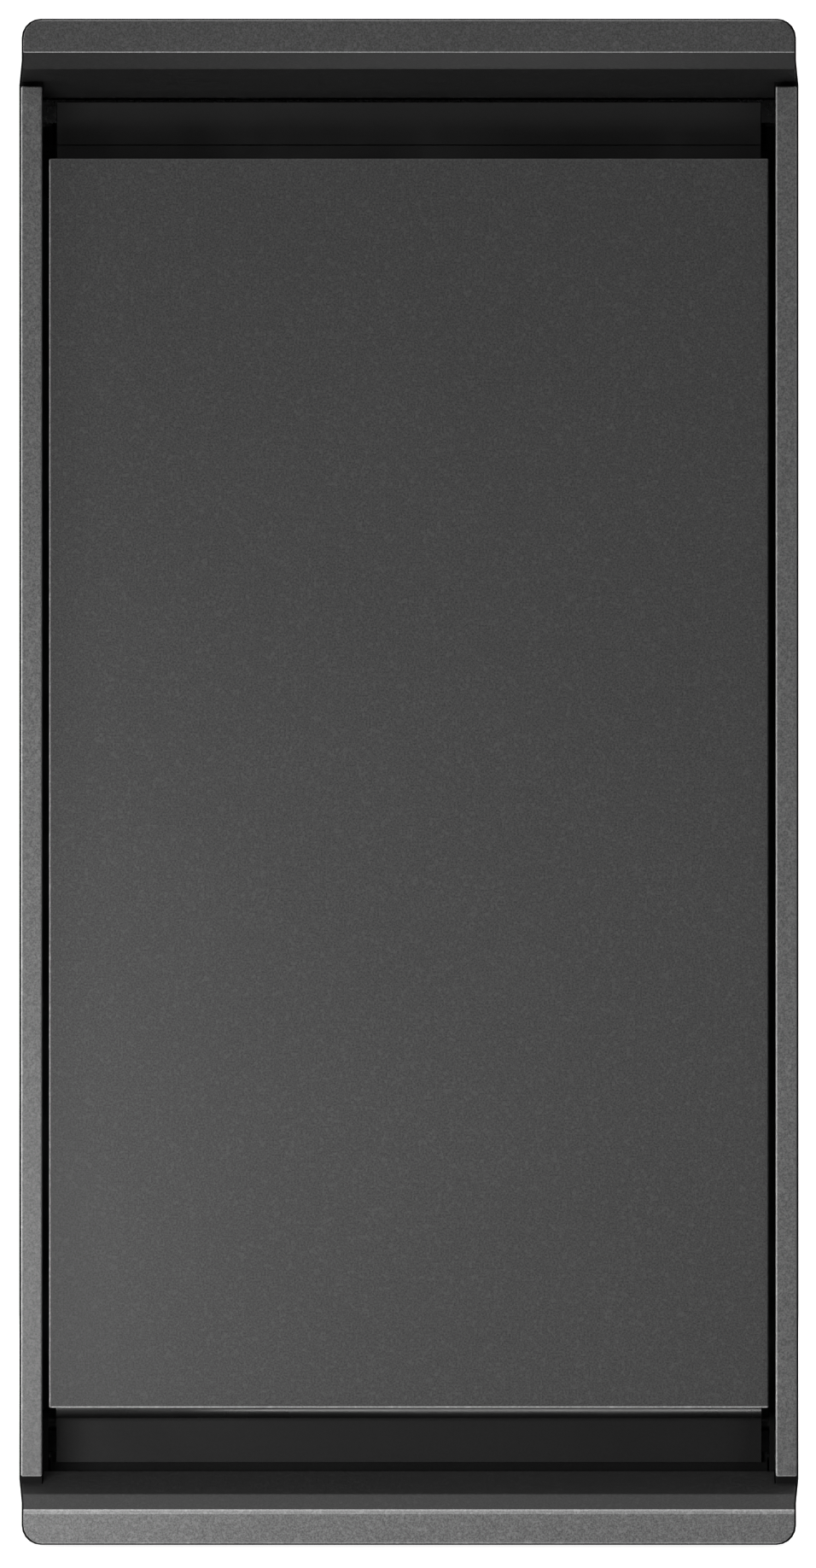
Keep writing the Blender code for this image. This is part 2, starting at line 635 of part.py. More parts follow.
def make_drive():
    """Chain drive in the base, with the gear motor standing on the cover at the rear."""
    centres = [(-SCREW_X, Y_RAM), (SCREW_X, Y_RAM), (0, MOTOR_Y)]
    chain_top = Z_CHAIN + CHAIN_WIDTH
    prism("drive_chain", belt(centres, PITCH_RADIUS + CHAIN_REACH), "Z", Z_CHAIN, chain_top, "machined_steel",
          [belt(centres, PITCH_RADIUS + 0.0010)])
    for side, way in SIDES.items():
        x = way * SCREW_X
        bore = circle(x, Y_RAM, JOURNAL_RADIUS + RUN)
        wheel = prism(f"screw_sprocket_{side}", sprocket_outline(x, Y_RAM), "Z", Z_CHAIN, chain_top,
                      "machined_steel", [bore])
        hang((x, Y_RAM, Z_CHAIN), wheel)
    shaft_top = Z_COVER_TOP + GAP + GEARCASE[2] * 0.5
    shaft_middle = (Z_CHAIN + shaft_top) / 2
    shaft = rod("drive_shaft", (0, MOTOR_Y, shaft_middle), shaft_top - Z_CHAIN, JOURNAL_RADIUS, "Z", None)
    wheel = prism("drive_sprocket", sprocket_outline(0, MOTOR_Y), "Z", Z_CHAIN, chain_top, "machined_steel")
    wheel = fuse(wheel, shaft)
    hang((0, MOTOR_Y, Z_CHAIN), wheel)

    cover_half = WRAP_INNER - GAP
    front, back = Y_GRIP + 0.027, Y_BACK_PANEL - 0.015
    outline = [(-cover_half, front), (cover_half, front), (cover_half, back), (-cover_half, back)]
    holes = [circle(x, y, JOURNAL_RADIUS + 0.003) for x, y in centres]
    prism("drive_cover", outline, "Z", Z_COVER, Z_COVER_TOP, "zinc_steel", holes)

    case_bottom = Z_COVER_TOP + GAP
    case_top = case_bottom + GEARCASE[2]
    half_x, half_y = GEARCASE[0] / 2, GEARCASE[1] / 2
    case = block("gearcase", (-half_x, half_x), (MOTOR_Y - half_y, MOTOR_Y + half_y), (case_bottom, case_top),
                 "cast_alloy")
    bore = rod("gearcase_bore", (0, MOTOR_Y, case_bottom), 2 * (shaft_top - case_bottom + 0.001),
               JOURNAL_RADIUS + RUN, "Z", None)
    cut(case, bore)
    foot = case_top + GAP
    radius = MOTOR_RADIUS
    top = foot + MOTOR_LENGTH
    profile = [(0, top), (radius * 0.42, top), (radius * 0.82, top - 0.010), (radius * 0.96, top - 0.022)]
    profile += [(radius, top - 0.022), (radius, top - 0.030), (radius * 0.95, top - 0.030)]
    profile += [(radius * 0.95, foot + 0.026), (radius, foot + 0.026), (radius, foot + 0.006)]
    profile += [(radius * 0.93, foot), (0, foot)]
    turned("drive_motor", profile, (0, MOTOR_Y, 0), "motor_paint", steps=36)


def make_screws():
    """Power screws in a lower bearing on the pan and an upper one under the head beam."""
    web = Z_HEAD + HEAD_BEAM[1] - HEAD_BEAM_WALL
    half_depth = HEAD_BEAM[0] / 2
    half = [(half_depth, Z_HEAD), (half_depth, Z_HEAD + HEAD_BEAM[1])]
    inner = [(-half_depth + HEAD_BEAM_WALL, Z_HEAD), (-half_depth + HEAD_BEAM_WALL, web)]
    section = half + [(-y, z) for y, z in reversed(half)] + inner + [(-y, z) for y, z in reversed(inner)]
    section = [(Y_RAM + y, z) for y, z in section]
    prism("head_beam", section, "X", -WRAP_INNER + GAP, WRAP_INNER - GAP, "zinc_steel")
    bearing_foot = Z_HEAD - 0.012
    journal = bearing_foot - 0.002
    for side, way in SIDES.items():
        at = (way * SCREW_X, Y_RAM, 0)
        bore = JOURNAL_RADIUS + RUN
        ring(f"lower_bearing_{side}", bore, BEARING_RADIUS, Z_PAN + GAP, Z_PAN + 0.0105, at, "bronze")
        ring(f"upper_bearing_{side}", bore, BEARING_RADIUS, bearing_foot, web - GAP, at, "bronze")
        thread_foot = Z_SHELF - 0.010
        profile = [
            (0, web - 0.001),
            (JOURNAL_RADIUS, web - 0.001),
            (JOURNAL_RADIUS, journal),
            (SCREW_RADIUS, journal - 0.003),
            (SCREW_RADIUS, thread_foot),
            (JOURNAL_RADIUS, thread_foot - 0.003),
            (JOURNAL_RADIUS, Z_PAN + 2 * GAP),
            (0, Z_PAN + 2 * GAP),
        ]
        turned(f"power_screw_{side}", profile, at, "machined_steel", steps=24)


def make_ram():
    """Platen, box-shaped body and the crosshead that hangs on the two power nuts."""
    half_x = BIN_HALF - BIN_WALL - PLATEN_MARGIN[0]
    half_y = BIN_LENGTH / 2 - BIN_WALL - PLATEN_MARGIN[1]
    platen = block("ram_platen", (-half_x, half_x), (Y_RAM - half_y, Y_RAM + half_y),
                   (Z_PLATEN, Z_PLATEN + PLATEN_HEIGHT), "ram_paint", 0.001)
    half_x, half_y = half_x - PLATEN_SHEET, half_y - PLATEN_SHEET
    tray = block("platen_tray", (-half_x, half_x), (Y_RAM - half_y, Y_RAM + half_y),
                 (Z_PLATEN + PLATEN_SHEET, Z_PLATEN + 2 * PLATEN_HEIGHT), None)
    cut(platen, tray)

    rings = []
    for inset in (0, RAM_BODY_WALL):
        x, y, corner = RAM_BODY[0] / 2 - inset, RAM_BODY[1] / 2 - inset, RAM_BODY_CORNER - inset
        side = [(x, Y_RAM - y, corner), (x, Y_RAM + y, corner)]
        rings.append(rounded(side + [(-x, y, r) for x, y, r in reversed(side)]))
    prism("ram_body", rings[0], "Z", Z_RAM_BODY, Z_CROSSHEAD - GAP, "ram_paint", [rings[1]])

    depth = CROSSHEAD[0] / 2
    web = Z_CROSSHEAD_TOP - CROSSHEAD_WALL
    inner = depth - CROSSHEAD_WALL
    low, high = Z_CROSSHEAD, Z_CROSSHEAD_TOP
    section = [(-depth, low), (-depth, high), (depth, high), (depth, low)]
    section += [(inner, low), (inner, web), (-inner, web), (-inner, low)]
    section = [(Y_RAM + y, z) for y, z in section]
    reach = SCREW_X + FLANGE_RADIUS + 0.001
    beam = as_mesh(prism("crosshead", section, "X", -reach, reach, "ram_paint"))
    flange_top = web - GAP
    for side, way in SIDES.items():
        at = (way * SCREW_X, Y_RAM, 0)
        cut(beam, rod(f"crosshead_hole_{side}", (at[0], at[1], web), 0.03, SCREW_RADIUS + 0.002, "Z", None))
        bore = SCREW_RADIUS + RUN
        profile = [
            (bore, flange_top),
            (FLANGE_RADIUS, flange_top),
            (FLANGE_RADIUS, flange_top - NUT_FLANGE[1]),
            (NUT_RADIUS, flange_top - NUT_FLANGE[1]),
            (NUT_RADIUS, flange_top - NUT_LENGTH),
            (bore, flange_top - NUT_LENGTH),
        ]
        turned(f"power_nut_{side}", profile, at, "bronze", closed=True)


# ---------------------------------------------------------------- drawer
def make_drawer_front():
    panel = block("drawer_panel", (-PANEL_HALF, PANEL_HALF), (Y_PANEL, Y_PANEL + PANEL_THICK),
                  (Z_PANEL_BOTTOM, Z_PANEL_TOP), "charcoal_coat", PANEL_EDGE)
    inner = PANEL_HALF - PANEL_SHEET
    fold = block("panel_fold", (-inner, inner), (Y_PANEL + PANEL_SHEET, Y_PANEL + 2 * PANEL_THICK),
                 (Z_PANEL_BOTTOM + PANEL_SHEET, Z_PANEL_TOP - PANEL_SHEET), None)
    cut(panel, fold)
    foot = Z_PANEL_BOTTOM + 0.0006
    wall = CARRIER_WALL
    shelf = Z_POCKET_FLOOR - wall
    back = Y_POCKET_WALL + wall
    section = [
        (Y_CARRIER, foot),
        (Y_CARRIER, Z_PANEL_TOP - 0.001),
        (Y_POCKET, Z_PANEL_TOP - 0.001),
        (Y_POCKET, Z_POCKET_FLOOR),
        (Y_POCKET_WALL, Z_POCKET_FLOOR),
        (Y_POCKET_WALL, Z_GRIP_TOP),
        (back, Z_GRIP_TOP),
        (back, shelf),
        (Y_POCKET, shelf),
        (Y_POCKET, foot + wall),
        (Y_GRIP + 0.0017, foot + wall),
        (Y_GRIP + 0.0017, foot),
    ]
    prism("front_carrier", section, "X", -PLATE_HALF, PLATE_HALF, "black_plastic")
    block("grip_plate", (-PLATE_HALF, PLATE_HALF), (Y_GRIP, Y_GRIP + GRIP_THICK),
          (Z_GRIP_TOP - GRIP_HEIGHT, Z_GRIP_TOP), "black_plastic", 0.0005)
    top = foot - GAP
    front = Y_CARRIER
    bead = rounded([
        (front, top, 0),
        (front, top - BEAD_HEIGHT, 0.005),
        (front + BEAD_DEPTH, top - BEAD_HEIGHT, 0.005),
        (front + BEAD_DEPTH, top, 0),
    ])
    prism("bottom_bead", bead, "X", -PLATE_HALF, PLATE_HALF, "rubber")


def make_controls():
    """Control strip at the right of the finger pull, facing up, with two buttons and a key lock."""
    length, depth, height = STRIP_SIZE
    y = (Y_POCKET + Y_GRIP) / 2
    foot = Z_POCKET_FLOOR + GAP
    along = (STRIP_X - length / 2, STRIP_X + length / 2)
    across = (y - depth / 2, y + depth / 2)
    strip = block("control_strip", along, across, (foot, foot + height), "black_plastic", 0.0008)
    well_foot = foot + 0.002
    bottom = well_foot + BUTTON_TRAVEL + 0.0005
    controls = (("start_button", -1, BUTTON_RADIUS, "start_green", 0.0020),
                ("stop_button", 0, BUTTON_RADIUS, "stop_red", 0.0020),
                ("key_lock", 1, KEY_RADIUS, "machined_steel", 0.0010))
    for name, place, radius, coat, proud in controls:
        x = STRIP_X + place * CONTROL_PITCH
        well = rod(name + "_well", (x, y, well_foot + 0.02), 0.04, radius + GAP, "Z", None)
        cut(strip, well)
        top = foot + height + proud
        rod(name, (x, y, (bottom + top) / 2), top - bottom, radius, "Z", coat, edge=0.0005)
    key = bpy.data.objects["key_lock"]
    slot_z = foot + height
    slot = block("key_slot", (STRIP_X + CONTROL_PITCH - 0.0045, STRIP_X + CONTROL_PITCH + 0.0045),
                 (y - 0.0008, y + 0.0008), (slot_z - 0.004, slot_z + 0.01), None)
    cut(key, slot)


def make_bin():
    """Open-topped container with rounded upright corners, on the drawer's floor plate."""
    block("drawer_floor", (-BIN_HALF, BIN_HALF), (Y_POCKET + GAP, Y_BIN_BACK),
          (Z_DRAWER_FLOOR, Z_DRAWER_FLOOR + TRACK_SHEET), "zinc_steel")
    mesh = bpy.data.meshes.new("trash_bin")
    bm = bmesh.new()
    bmesh.ops.create_cube(bm, size=1)
    bmesh.ops.scale(bm, vec=(2 * BIN_HALF, BIN_LENGTH, BIN_HEIGHT), verts=bm.verts)
    uprights = [e for e in bm.edges if abs(e.verts[0].co.z - e.verts[1].co.z) > BIN_HEIGHT / 2]
    bmesh.ops.bevel(bm, geom=uprights, offset=BIN_CORNER, segments=5, affect="EDGES", profile=0.5)
    bm.faces.ensure_lookup_table()
    lid = [f for f in bm.faces if f.normal.z > 0.9]
    bmesh.ops.delete(bm, geom=lid, context="FACES_ONLY")
    bm.to_mesh(mesh)
    bm.free()
    container = add("trash_bin", mesh, "bin_plastic")
    container.location = (0, Y_RAM, Z_BIN + BIN_HEIGHT / 2)
    solidify = container.modifiers.new("wall", "SOLIDIFY")
    solidify.thickness = BIN_WALL
    solidify.offset = -1
    solidify.use_even_offset = True


def roller(name, x, y, z):
    """Drawer roller with a shallow tread groove."""
    half = ROLLER_WIDTH / 2
    bore = AXLE_RADIUS + RUN
    rim = ROLLER_RADIUS
    ease, groove = 0.0005, 0.0004
    profile = [(bore, half), (rim - ease, half), (rim, half - ease), (rim, 0.0012), (rim - groove, 0.0008)]
    profile += [(radius, -height) for radius, height in reversed(profile)]
    turned(name, profile, (x, y, z), "nylon", "X", closed=True, steps=24)


def make_slides():
    """Each side: a track on the drive cover with a roller at its front, and a runner with one at its back."""
    track_front = Y_GRIP + 0.020
    front_roller_y = track_front + 0.010
    rear_roller_y = Y_BIN_BACK + RUNNER_TAIL - 0.012
    low = Z_COVER_TOP + GAP
    for side, way in SIDES.items():
        outer = TRACK_X + TRACK_WIDTH
        web = outer - TRACK_SHEET
        section = [
            (TRACK_X, low), (outer, low), (outer, Z_FLANGE), (web, Z_FLANGE), (web, Z_SHELF_TOP),
            (TRACK_X, Z_SHELF_TOP), (TRACK_X, Z_SHELF), (web, Z_SHELF), (web, low + TRACK_SHEET),
            (TRACK_X, low + TRACK_SHEET),
        ]
        section = [(way * x, z) for x, z in section]
        track_back = Y_BACK_PANEL - TRACK_REAR
        track = as_mesh(prism(f"drawer_track_{side}", section, "Y", track_front, track_back, "zinc_steel"))
        roller_z = Z_FLANGE - ROLLER_RADIUS - RUN
        ends = (TRACK_X + AXLE_TIP, web + 0.001)
        axle_at = (way * sum(ends) / 2, front_roller_y, roller_z)
        fuse(track, rod(f"track_axle_{side}", axle_at, ends[1] - ends[0], AXLE_RADIUS, "X", None, sides=16))
        roller(f"front_roller_{side}", way * ROLLER_X, front_roller_y, roller_z)

        inner = RUNNER_X
        flange_end = web - 0.003
        foot, lid = Z_SHELF + 0.004, Z_FLANGE + TRACK_SHEET
        section = [
            (inner, foot), (TRACK_X, foot), (TRACK_X, Z_FLANGE), (flange_end, Z_FLANGE),
            (flange_end, lid), (TRACK_X, lid), (inner, lid),
        ]
        section = [(way * x, z) for x, z in section]
        runner_back = Y_BIN_BACK + RUNNER_TAIL
        runner = as_mesh(prism(f"drawer_runner_{side}", section, "Y", Y_BIN, runner_back, "zinc_steel"))
        roller_z = Z_SHELF_TOP + ROLLER_RADIUS + RUN
        ends = (TRACK_X - 0.001, ROLLER_X + ROLLER_WIDTH / 2 + AXLE_TIP)
        axle_at = (way * sum(ends) / 2, rear_roller_y, roller_z)
        fuse(runner, rod(f"runner_axle_{side}", axle_at, ends[1] - ends[0], AXLE_RADIUS, "X", None, sides=16))
        roller(f"rear_roller_{side}", way * ROLLER_X, rear_roller_y, roller_z)


# ---------------------------------------------------------------- pedal
def make_pedal():
    """Toe pedal: a plate that rocks on a shaft, with two arms that push the drawer off its seat."""
    foot = Z_SILL + PEDAL_RISE
    plate = block("toe_pedal", (-PLATE_HALF, PLATE_HALF), (Y_GRIP + 0.0017, Y_GRIP + 0.0017 + PEDAL_THICK),
                  (foot, foot + PEDAL_HEIGHT), "black_plastic")
    back = Y_GRIP + 0.0017 + PEDAL_THICK
    radius = PEDAL_SHAFT_RADIUS + 0.0032
    tip_z = Z_DRAWER_FLOOR - 0.004
    arm = rounded([
        (back - 0.001, PEDAL_Z - radius, 0),
        (PEDAL_Y + radius, PEDAL_Z - radius, radius * 0.9),
        (PEDAL_Y + radius * 0.7, tip_z, 0.001),
        (PEDAL_Y - 0.0035, tip_z, 0.001),
        (PEDAL_Y - 0.0035, PEDAL_Z + 0.0035, 0),
        (back - 0.001, PEDAL_Z + 0.0035, 0),
    ])
    lug = rounded([
        (back - 0.001, PEDAL_Z - radius, 0),
        (PEDAL_Y + radius, PEDAL_Z - radius, radius * 0.9),
        (PEDAL_Y + radius, PEDAL_Z + 0.0035, 0.002),
        (back - 0.001, PEDAL_Z + 0.0035, 0),
    ])
    places = {"arm": (arm, PEDAL_ARM_X), "lug": (lug, PLATE_HALF - PEDAL_ARM_WIDTH)}
    for kind, (outline, reach) in places.items():
        for side, way in SIDES.items():
            x = way * reach
            low, high = x - PEDAL_ARM_WIDTH / 2, x + PEDAL_ARM_WIDTH / 2
            fuse(plate, prism(f"pedal_{kind}_{side}", outline, "X", low, high, None))
    bore = rod("pedal_bore", (0, PEDAL_Y, PEDAL_Z), WIDTH, PEDAL_SHAFT_RADIUS + RUN, "X", None)
    cut(plate, bore)
    hang((0, PEDAL_Y, PEDAL_Z), plate)
    bracket_x = PANEL_HALF + 0.0011
    bracket_end = bracket_x + 0.003
    rod("pedal_shaft", (0, PEDAL_Y, PEDAL_Z), 2 * (bracket_end + 0.002), PEDAL_SHAFT_RADIUS, "X",
        "machined_steel", edge=0.0005)
    for side, way in SIDES.items():
        outline = rounded([
            (PEDAL_Y - 0.010, Z_PAN + GAP, 0), (PEDAL_Y + 0.014, Z_PAN + GAP, 0),
            (PEDAL_Y + 0.010, PEDAL_Z + 0.008, 0.006), (PEDAL_Y - 0.009, PEDAL_Z + 0.008, 0.006),
        ])
        hole = circle(PEDAL_Y, PEDAL_Z, PEDAL_SHAFT_RADIUS + RUN)
        low, high = sorted((way * bracket_x, way * bracket_end))
        prism(f"pedal_bracket_{side}", outline, "X", low, high, "zinc_steel", [hole])
    make_pedal_spring()


def make_pedal_spring():
    """Torsion spring round the shaft beside the right arm: a close coil with a leg to each side."""
    wire, turns, per_turn = 0.0008, 6, 12
    radius = PEDAL_SHAFT_RADIUS + 0.0018
    pitch = 2.5 * wire
    start = PEDAL_ARM_X + PEDAL_ARM_WIDTH / 2 + 0.004
    points = [(start, PEDAL_Y - radius * 0.8, PEDAL_Z - 0.018)]
    for k in range(turns * per_turn + per_turn // 2 + 1):
        angle = math.pi + 2 * math.pi * k / per_turn
        y, z = PEDAL_Y + radius * math.cos(angle), PEDAL_Z + radius * math.sin(angle)
        points.append((start + pitch * k / per_turn, y, z))
    points.append((start + pitch * (turns + 0.5), PEDAL_Y + radius, Z_COVER_TOP + 0.008))
    points.append((start + pitch * (turns + 0.5), Y_GRIP + 0.034, Z_COVER_TOP + GAP + wire))
    tube("pedal_spring", points, wire, "machined_steel")


def tube(name, points, radius, coat):
    """A wire of that radius through the points, as a curve with filled caps."""
    curve = bpy.data.curves.new(name, "CURVE")
    curve.dimensions = "3D"
    curve.bevel_depth = radius
    curve.bevel_resolution = 2
    curve.use_fill_caps = True
    spline = curve.splines.new("POLY")
    spline.points.add(len(points) - 1)
    for point, place in zip(spline.points, points):
        point.co = (*place, 1)
    return add(name, curve, coat)


# ---------------------------------------------------------------- switch and wiring
def make_limit_switch():
    """Top limit switch behind the head beam, with a lever over the crosshead."""
    back = Y_RAM + HEAD_BEAM[0] / 2 + GAP
    lever_z = Z_CROSSHEAD_TOP + 0.0025
    x = (-0.105, -0.075)
    z = (lever_z + 0.004, Z_HEAD + HEAD_BEAM[1] - 0.002)
    block("limit_switch", x, (back, back + 0.016), z, "black_plastic", 0.0006)
    lever = block("limit_lever", (x[0] + 0.008, x[1] - 0.008), (Y_RAM + 0.010, back + 0.014),
                  (lever_z, lever_z + 0.001), "machined_steel")
    hang((sum(x) / 2, back + 0.0125, lever_z + 0.0005), lever)


def smooth_path(places, per_span=6):
    """Points along a smooth curve that passes through the places."""
    spots = [Vector(p) for p in places]
    spots = [2 * spots[0] - spots[1], *spots, 2 * spots[-1] - spots[-2]]
    points = []
    for a, b, c, d in zip(spots, spots[1:], spots[2:], spots[3:]):
        for k in range(per_span):
            t = k / per_span
            bend, twist = 2 * a - 5 * b + 4 * c - d, 3 * b - a - 3 * c + d
            points.append(0.5 * (2 * b + (c - a) * t + bend * t**2 + twist * t**3))
    return [*points, spots[-2]]


def make_harness():
    """Wiring from the cord gland past the motor and up the back to the limit switch."""
    gland_x, gland_z = GLAND_AT
    wall = Y_BACK_PANEL - 0.008
    switch_y = Y_RAM + HEAD_BEAM[0] / 2 + 0.018
    switch_z = Z_HEAD + 0.004
    places = [
        (gland_x, Y_BACK_PANEL - 0.014, gland_z),
        (gland_x, wall - 0.022, gland_z + 0.012),
        (gland_x + 0.002, wall - 0.016, gland_z + 0.100),
        (gland_x - 0.012, wall - 0.012, gland_z + 0.300),
        (gland_x - 0.010, wall - 0.012, FILTER_Z),
        (gland_x, wall - 0.020, Z_HEAD - 0.050),
        (gland_x + 0.030, wall - 0.100, switch_z),
        (-0.090, switch_y + 0.040, switch_z + 0.002),
        (-0.090, switch_y, switch_z),
    ]
    tube("wire_harness", smooth_path(places), 0.003, "rubber")


def shade(obj):
    """Smooth over curves, sharp at corners."""
    if obj.type == "MESH":
        obj.data.shade_smooth()
        obj.data.set_sharp_from_angle(angle=math.radians(35))


clear_scene()
MODEL = new_collection("trash_compactor")
CUTTERS = new_collection("cutters")
make_face()
make_cabinet()
make_rear_fittings()
make_drive()
make_screws()
make_ram()
make_drawer_front()
make_controls()
make_bin()
make_slides()
make_pedal()
make_limit_switch()
make_harness()
for piece in MODEL.objects:
    shade(piece)
print(len([piece for piece in MODEL.objects if piece.type != "EMPTY"]), "pieces")
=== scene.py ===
# %% [markdown]
# # An undercounter trash compactor, dressed
# The imported model gives every size and every joint. This lesson builds the looks around it: finer edges on the
# pressed and moulded pieces, the threads, links, screws and ribs that a solid model leaves out, and the finishes
# of the real machine. The charcoal coat among them comes in several copies that paint light and shade. It starts
# by loading the model, because every place below comes from it.

# %% Load the frame
import json
import math

import bmesh
import bpy
from mathutils import Matrix, Vector


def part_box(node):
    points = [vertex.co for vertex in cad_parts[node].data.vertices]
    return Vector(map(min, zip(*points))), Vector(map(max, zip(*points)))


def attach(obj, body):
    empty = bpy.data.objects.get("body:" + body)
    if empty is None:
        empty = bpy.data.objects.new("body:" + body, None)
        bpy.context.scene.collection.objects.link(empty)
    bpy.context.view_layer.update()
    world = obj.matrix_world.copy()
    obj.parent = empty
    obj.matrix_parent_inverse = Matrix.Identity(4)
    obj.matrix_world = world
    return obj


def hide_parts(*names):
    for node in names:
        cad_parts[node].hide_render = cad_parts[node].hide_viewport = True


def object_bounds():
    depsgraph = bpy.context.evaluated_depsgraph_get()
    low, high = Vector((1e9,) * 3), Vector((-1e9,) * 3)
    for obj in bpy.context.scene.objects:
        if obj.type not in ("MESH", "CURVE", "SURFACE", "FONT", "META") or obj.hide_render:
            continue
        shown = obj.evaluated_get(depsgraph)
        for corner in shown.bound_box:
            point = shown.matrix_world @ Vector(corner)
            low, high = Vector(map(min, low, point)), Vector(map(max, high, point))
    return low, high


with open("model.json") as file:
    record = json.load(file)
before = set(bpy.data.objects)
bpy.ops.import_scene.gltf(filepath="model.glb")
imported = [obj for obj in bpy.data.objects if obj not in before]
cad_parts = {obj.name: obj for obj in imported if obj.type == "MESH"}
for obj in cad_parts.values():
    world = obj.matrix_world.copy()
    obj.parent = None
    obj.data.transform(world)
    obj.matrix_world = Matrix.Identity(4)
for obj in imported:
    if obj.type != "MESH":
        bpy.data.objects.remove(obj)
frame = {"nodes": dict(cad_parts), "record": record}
cad_low, cad_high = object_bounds()

# %% [markdown]
# The camera comes first. The front is seen square on, from so far away that all its upright edges stay parallel,
# as a catalogue shows a built-in machine. A long lens does that: the further the camera, the longer the lens
# for the same width of view. An orthographic camera would too, but the other views need a real lens to fit.

# %% Camera
VIEW_HEIGHT = 0.895
CAMERA_DISTANCE = 12.0
EYE = Vector((-0.0005, cad_low.y - CAMERA_DISTANCE, 0.4357))

camera_data = bpy.data.cameras.new("camera")
camera_data.sensor_width = 36.0
camera_data.lens = camera_data.sensor_width * CAMERA_DISTANCE / VIEW_HEIGHT
camera_data.clip_end = 200.0
camera = bpy.data.objects.new("camera", camera_data)
camera.location = EYE
camera.rotation_euler = (math.radians(90), 0, 0)
bpy.context.scene.collection.objects.link(camera)
bpy.context.scene.camera = camera
print("lens", round(camera_data.lens, 1), "mm at", CAMERA_DISTANCE, "m")

# %% [markdown]
# A studio needs a floor and a bright surround. The floor is one wide pale disc that glows a little, so that it
# stays white under the machine, and glows more further out, where no light reaches it. The surround is white to
# the eye but gives the machine only a dim, even fill: a light path test in the world tells the two apart, and the
# softboxes then shape the front.

# %% Floor and surround
FLOOR_RADIUS = 16.0
FILL = 0.1
GLOW_NEAR, GLOW_FAR, GLOW_CAST = 0.85, 1.1, 0.1
bpy.context.scene.view_settings.view_transform = "Standard"


def put(kind, tree, settings=None, **values):
    """Adds a node, sets its properties, and sets or links its inputs by name."""
    made = tree.nodes.new("ShaderNode" + kind)
    for name, value in (settings or {}).items():
        setattr(made, name, value)
    for name, value in values.items():
        socket = made.inputs[name.replace("_", " ")]
        if isinstance(value, bpy.types.NodeSocket):
            tree.links.new(value, socket)
        else:
            socket.default_value = value
    return made


world = bpy.data.worlds.new("surround")
bpy.context.scene.world = world
world.use_nodes = True
sky = world.node_tree
sky.nodes.clear()
seen = put("LightPath", sky).outputs["Is Camera Ray"]
strength = put("MapRange", sky, Value=seen, To_Min=FILL, To_Max=1.3).outputs["Result"]
glow = put("Background", sky, Color=(1, 1, 1, 1), Strength=strength)
put("OutputWorld", sky, Surface=glow.outputs[0])


def finish_named(name):
    """A material with one empty surface shader, ready for its texture nodes."""
    material = bpy.data.materials.new(name)
    material.use_nodes = True
    tree = material.node_tree
    tree.nodes.clear()
    shader = put("BsdfPrincipled", tree)
    put("OutputMaterial", tree, Surface=shader.outputs[0])
    return material, tree, shader


paper, paper_tree, paper_shader = finish_named("studio_paper")
paper_grain = put("TexNoise", paper_tree, Scale=60.0, Detail=4.0)
paper_tone = put("MapRange", paper_tree, Value=paper_grain.outputs[0], To_Min=0.42, To_Max=0.48)
paper_tree.links.new(paper_tone.outputs[0], paper_shader.inputs["Base Color"])
paper_shader.inputs["Roughness"].default_value = 0.9
paper_shader.inputs["Emission Color"].default_value = (1, 1, 1, 1)
paper_spot = put("TexCoord", paper_tree).outputs["Object"]
reach = put("VectorMath", paper_tree, settings={"operation": "LENGTH"})
paper_tree.links.new(paper_spot, reach.inputs[0])
paper_glow = put("MapRange", paper_tree, Value=reach.outputs["Value"], From_Min=0.6, From_Max=2.6,
                 To_Min=GLOW_NEAR, To_Max=GLOW_FAR)
paper_seen = put("LightPath", paper_tree).outputs["Is Camera Ray"]
paper_light = put("MapRange", paper_tree, Value=paper_seen, To_Min=GLOW_CAST, To_Max=paper_glow.outputs[0])
paper_tree.links.new(paper_light.outputs[0], paper_shader.inputs["Emission Strength"])

floor_mesh = bpy.data.meshes.new("studio_floor")
shape = bmesh.new()
bmesh.ops.create_circle(shape, cap_ends=True, segments=96, radius=FLOOR_RADIUS)
shape.to_mesh(floor_mesh)
shape.free()
floor = bpy.data.objects.new("studio_floor", floor_mesh)
floor_mesh.materials.append(paper)
bpy.context.scene.collection.objects.link(floor)
print("floor", FLOOR_RADIUS, "m")

# %% [markdown]
# The front is lit from low on the left, by one box close in and one that grazes it from the side, so that the
# finish grows darker towards the top and to the right. A strip high in front draws the bright line along the
# bottom cap's ridge. Two small boxes near the floor give the soft streak under the top cap and the gleam on the
# bead, and one level with the finger pull keeps its plate out of full shadow. Four large boxes at the sides,
# behind and above light the other faces evenly.

# %% Softboxes


def softbox(name, place, aim, width, height, watts, gloss_only=False):
    """A rectangular area light at a place, turned to face a point. A gloss light shows only in reflections."""
    data = bpy.data.lights.new(name, "AREA")
    data.shape, data.size, data.size_y = "RECTANGLE", width, height
    data.energy = watts
    light = bpy.data.objects.new(name, data)
    light.location = place
    light.rotation_euler = (Vector(aim) - Vector(place)).to_track_quat("-Z", "Y").to_euler()
    light.visible_camera, light.visible_diffuse = False, not gloss_only
    bpy.context.scene.collection.objects.link(light)
    return light


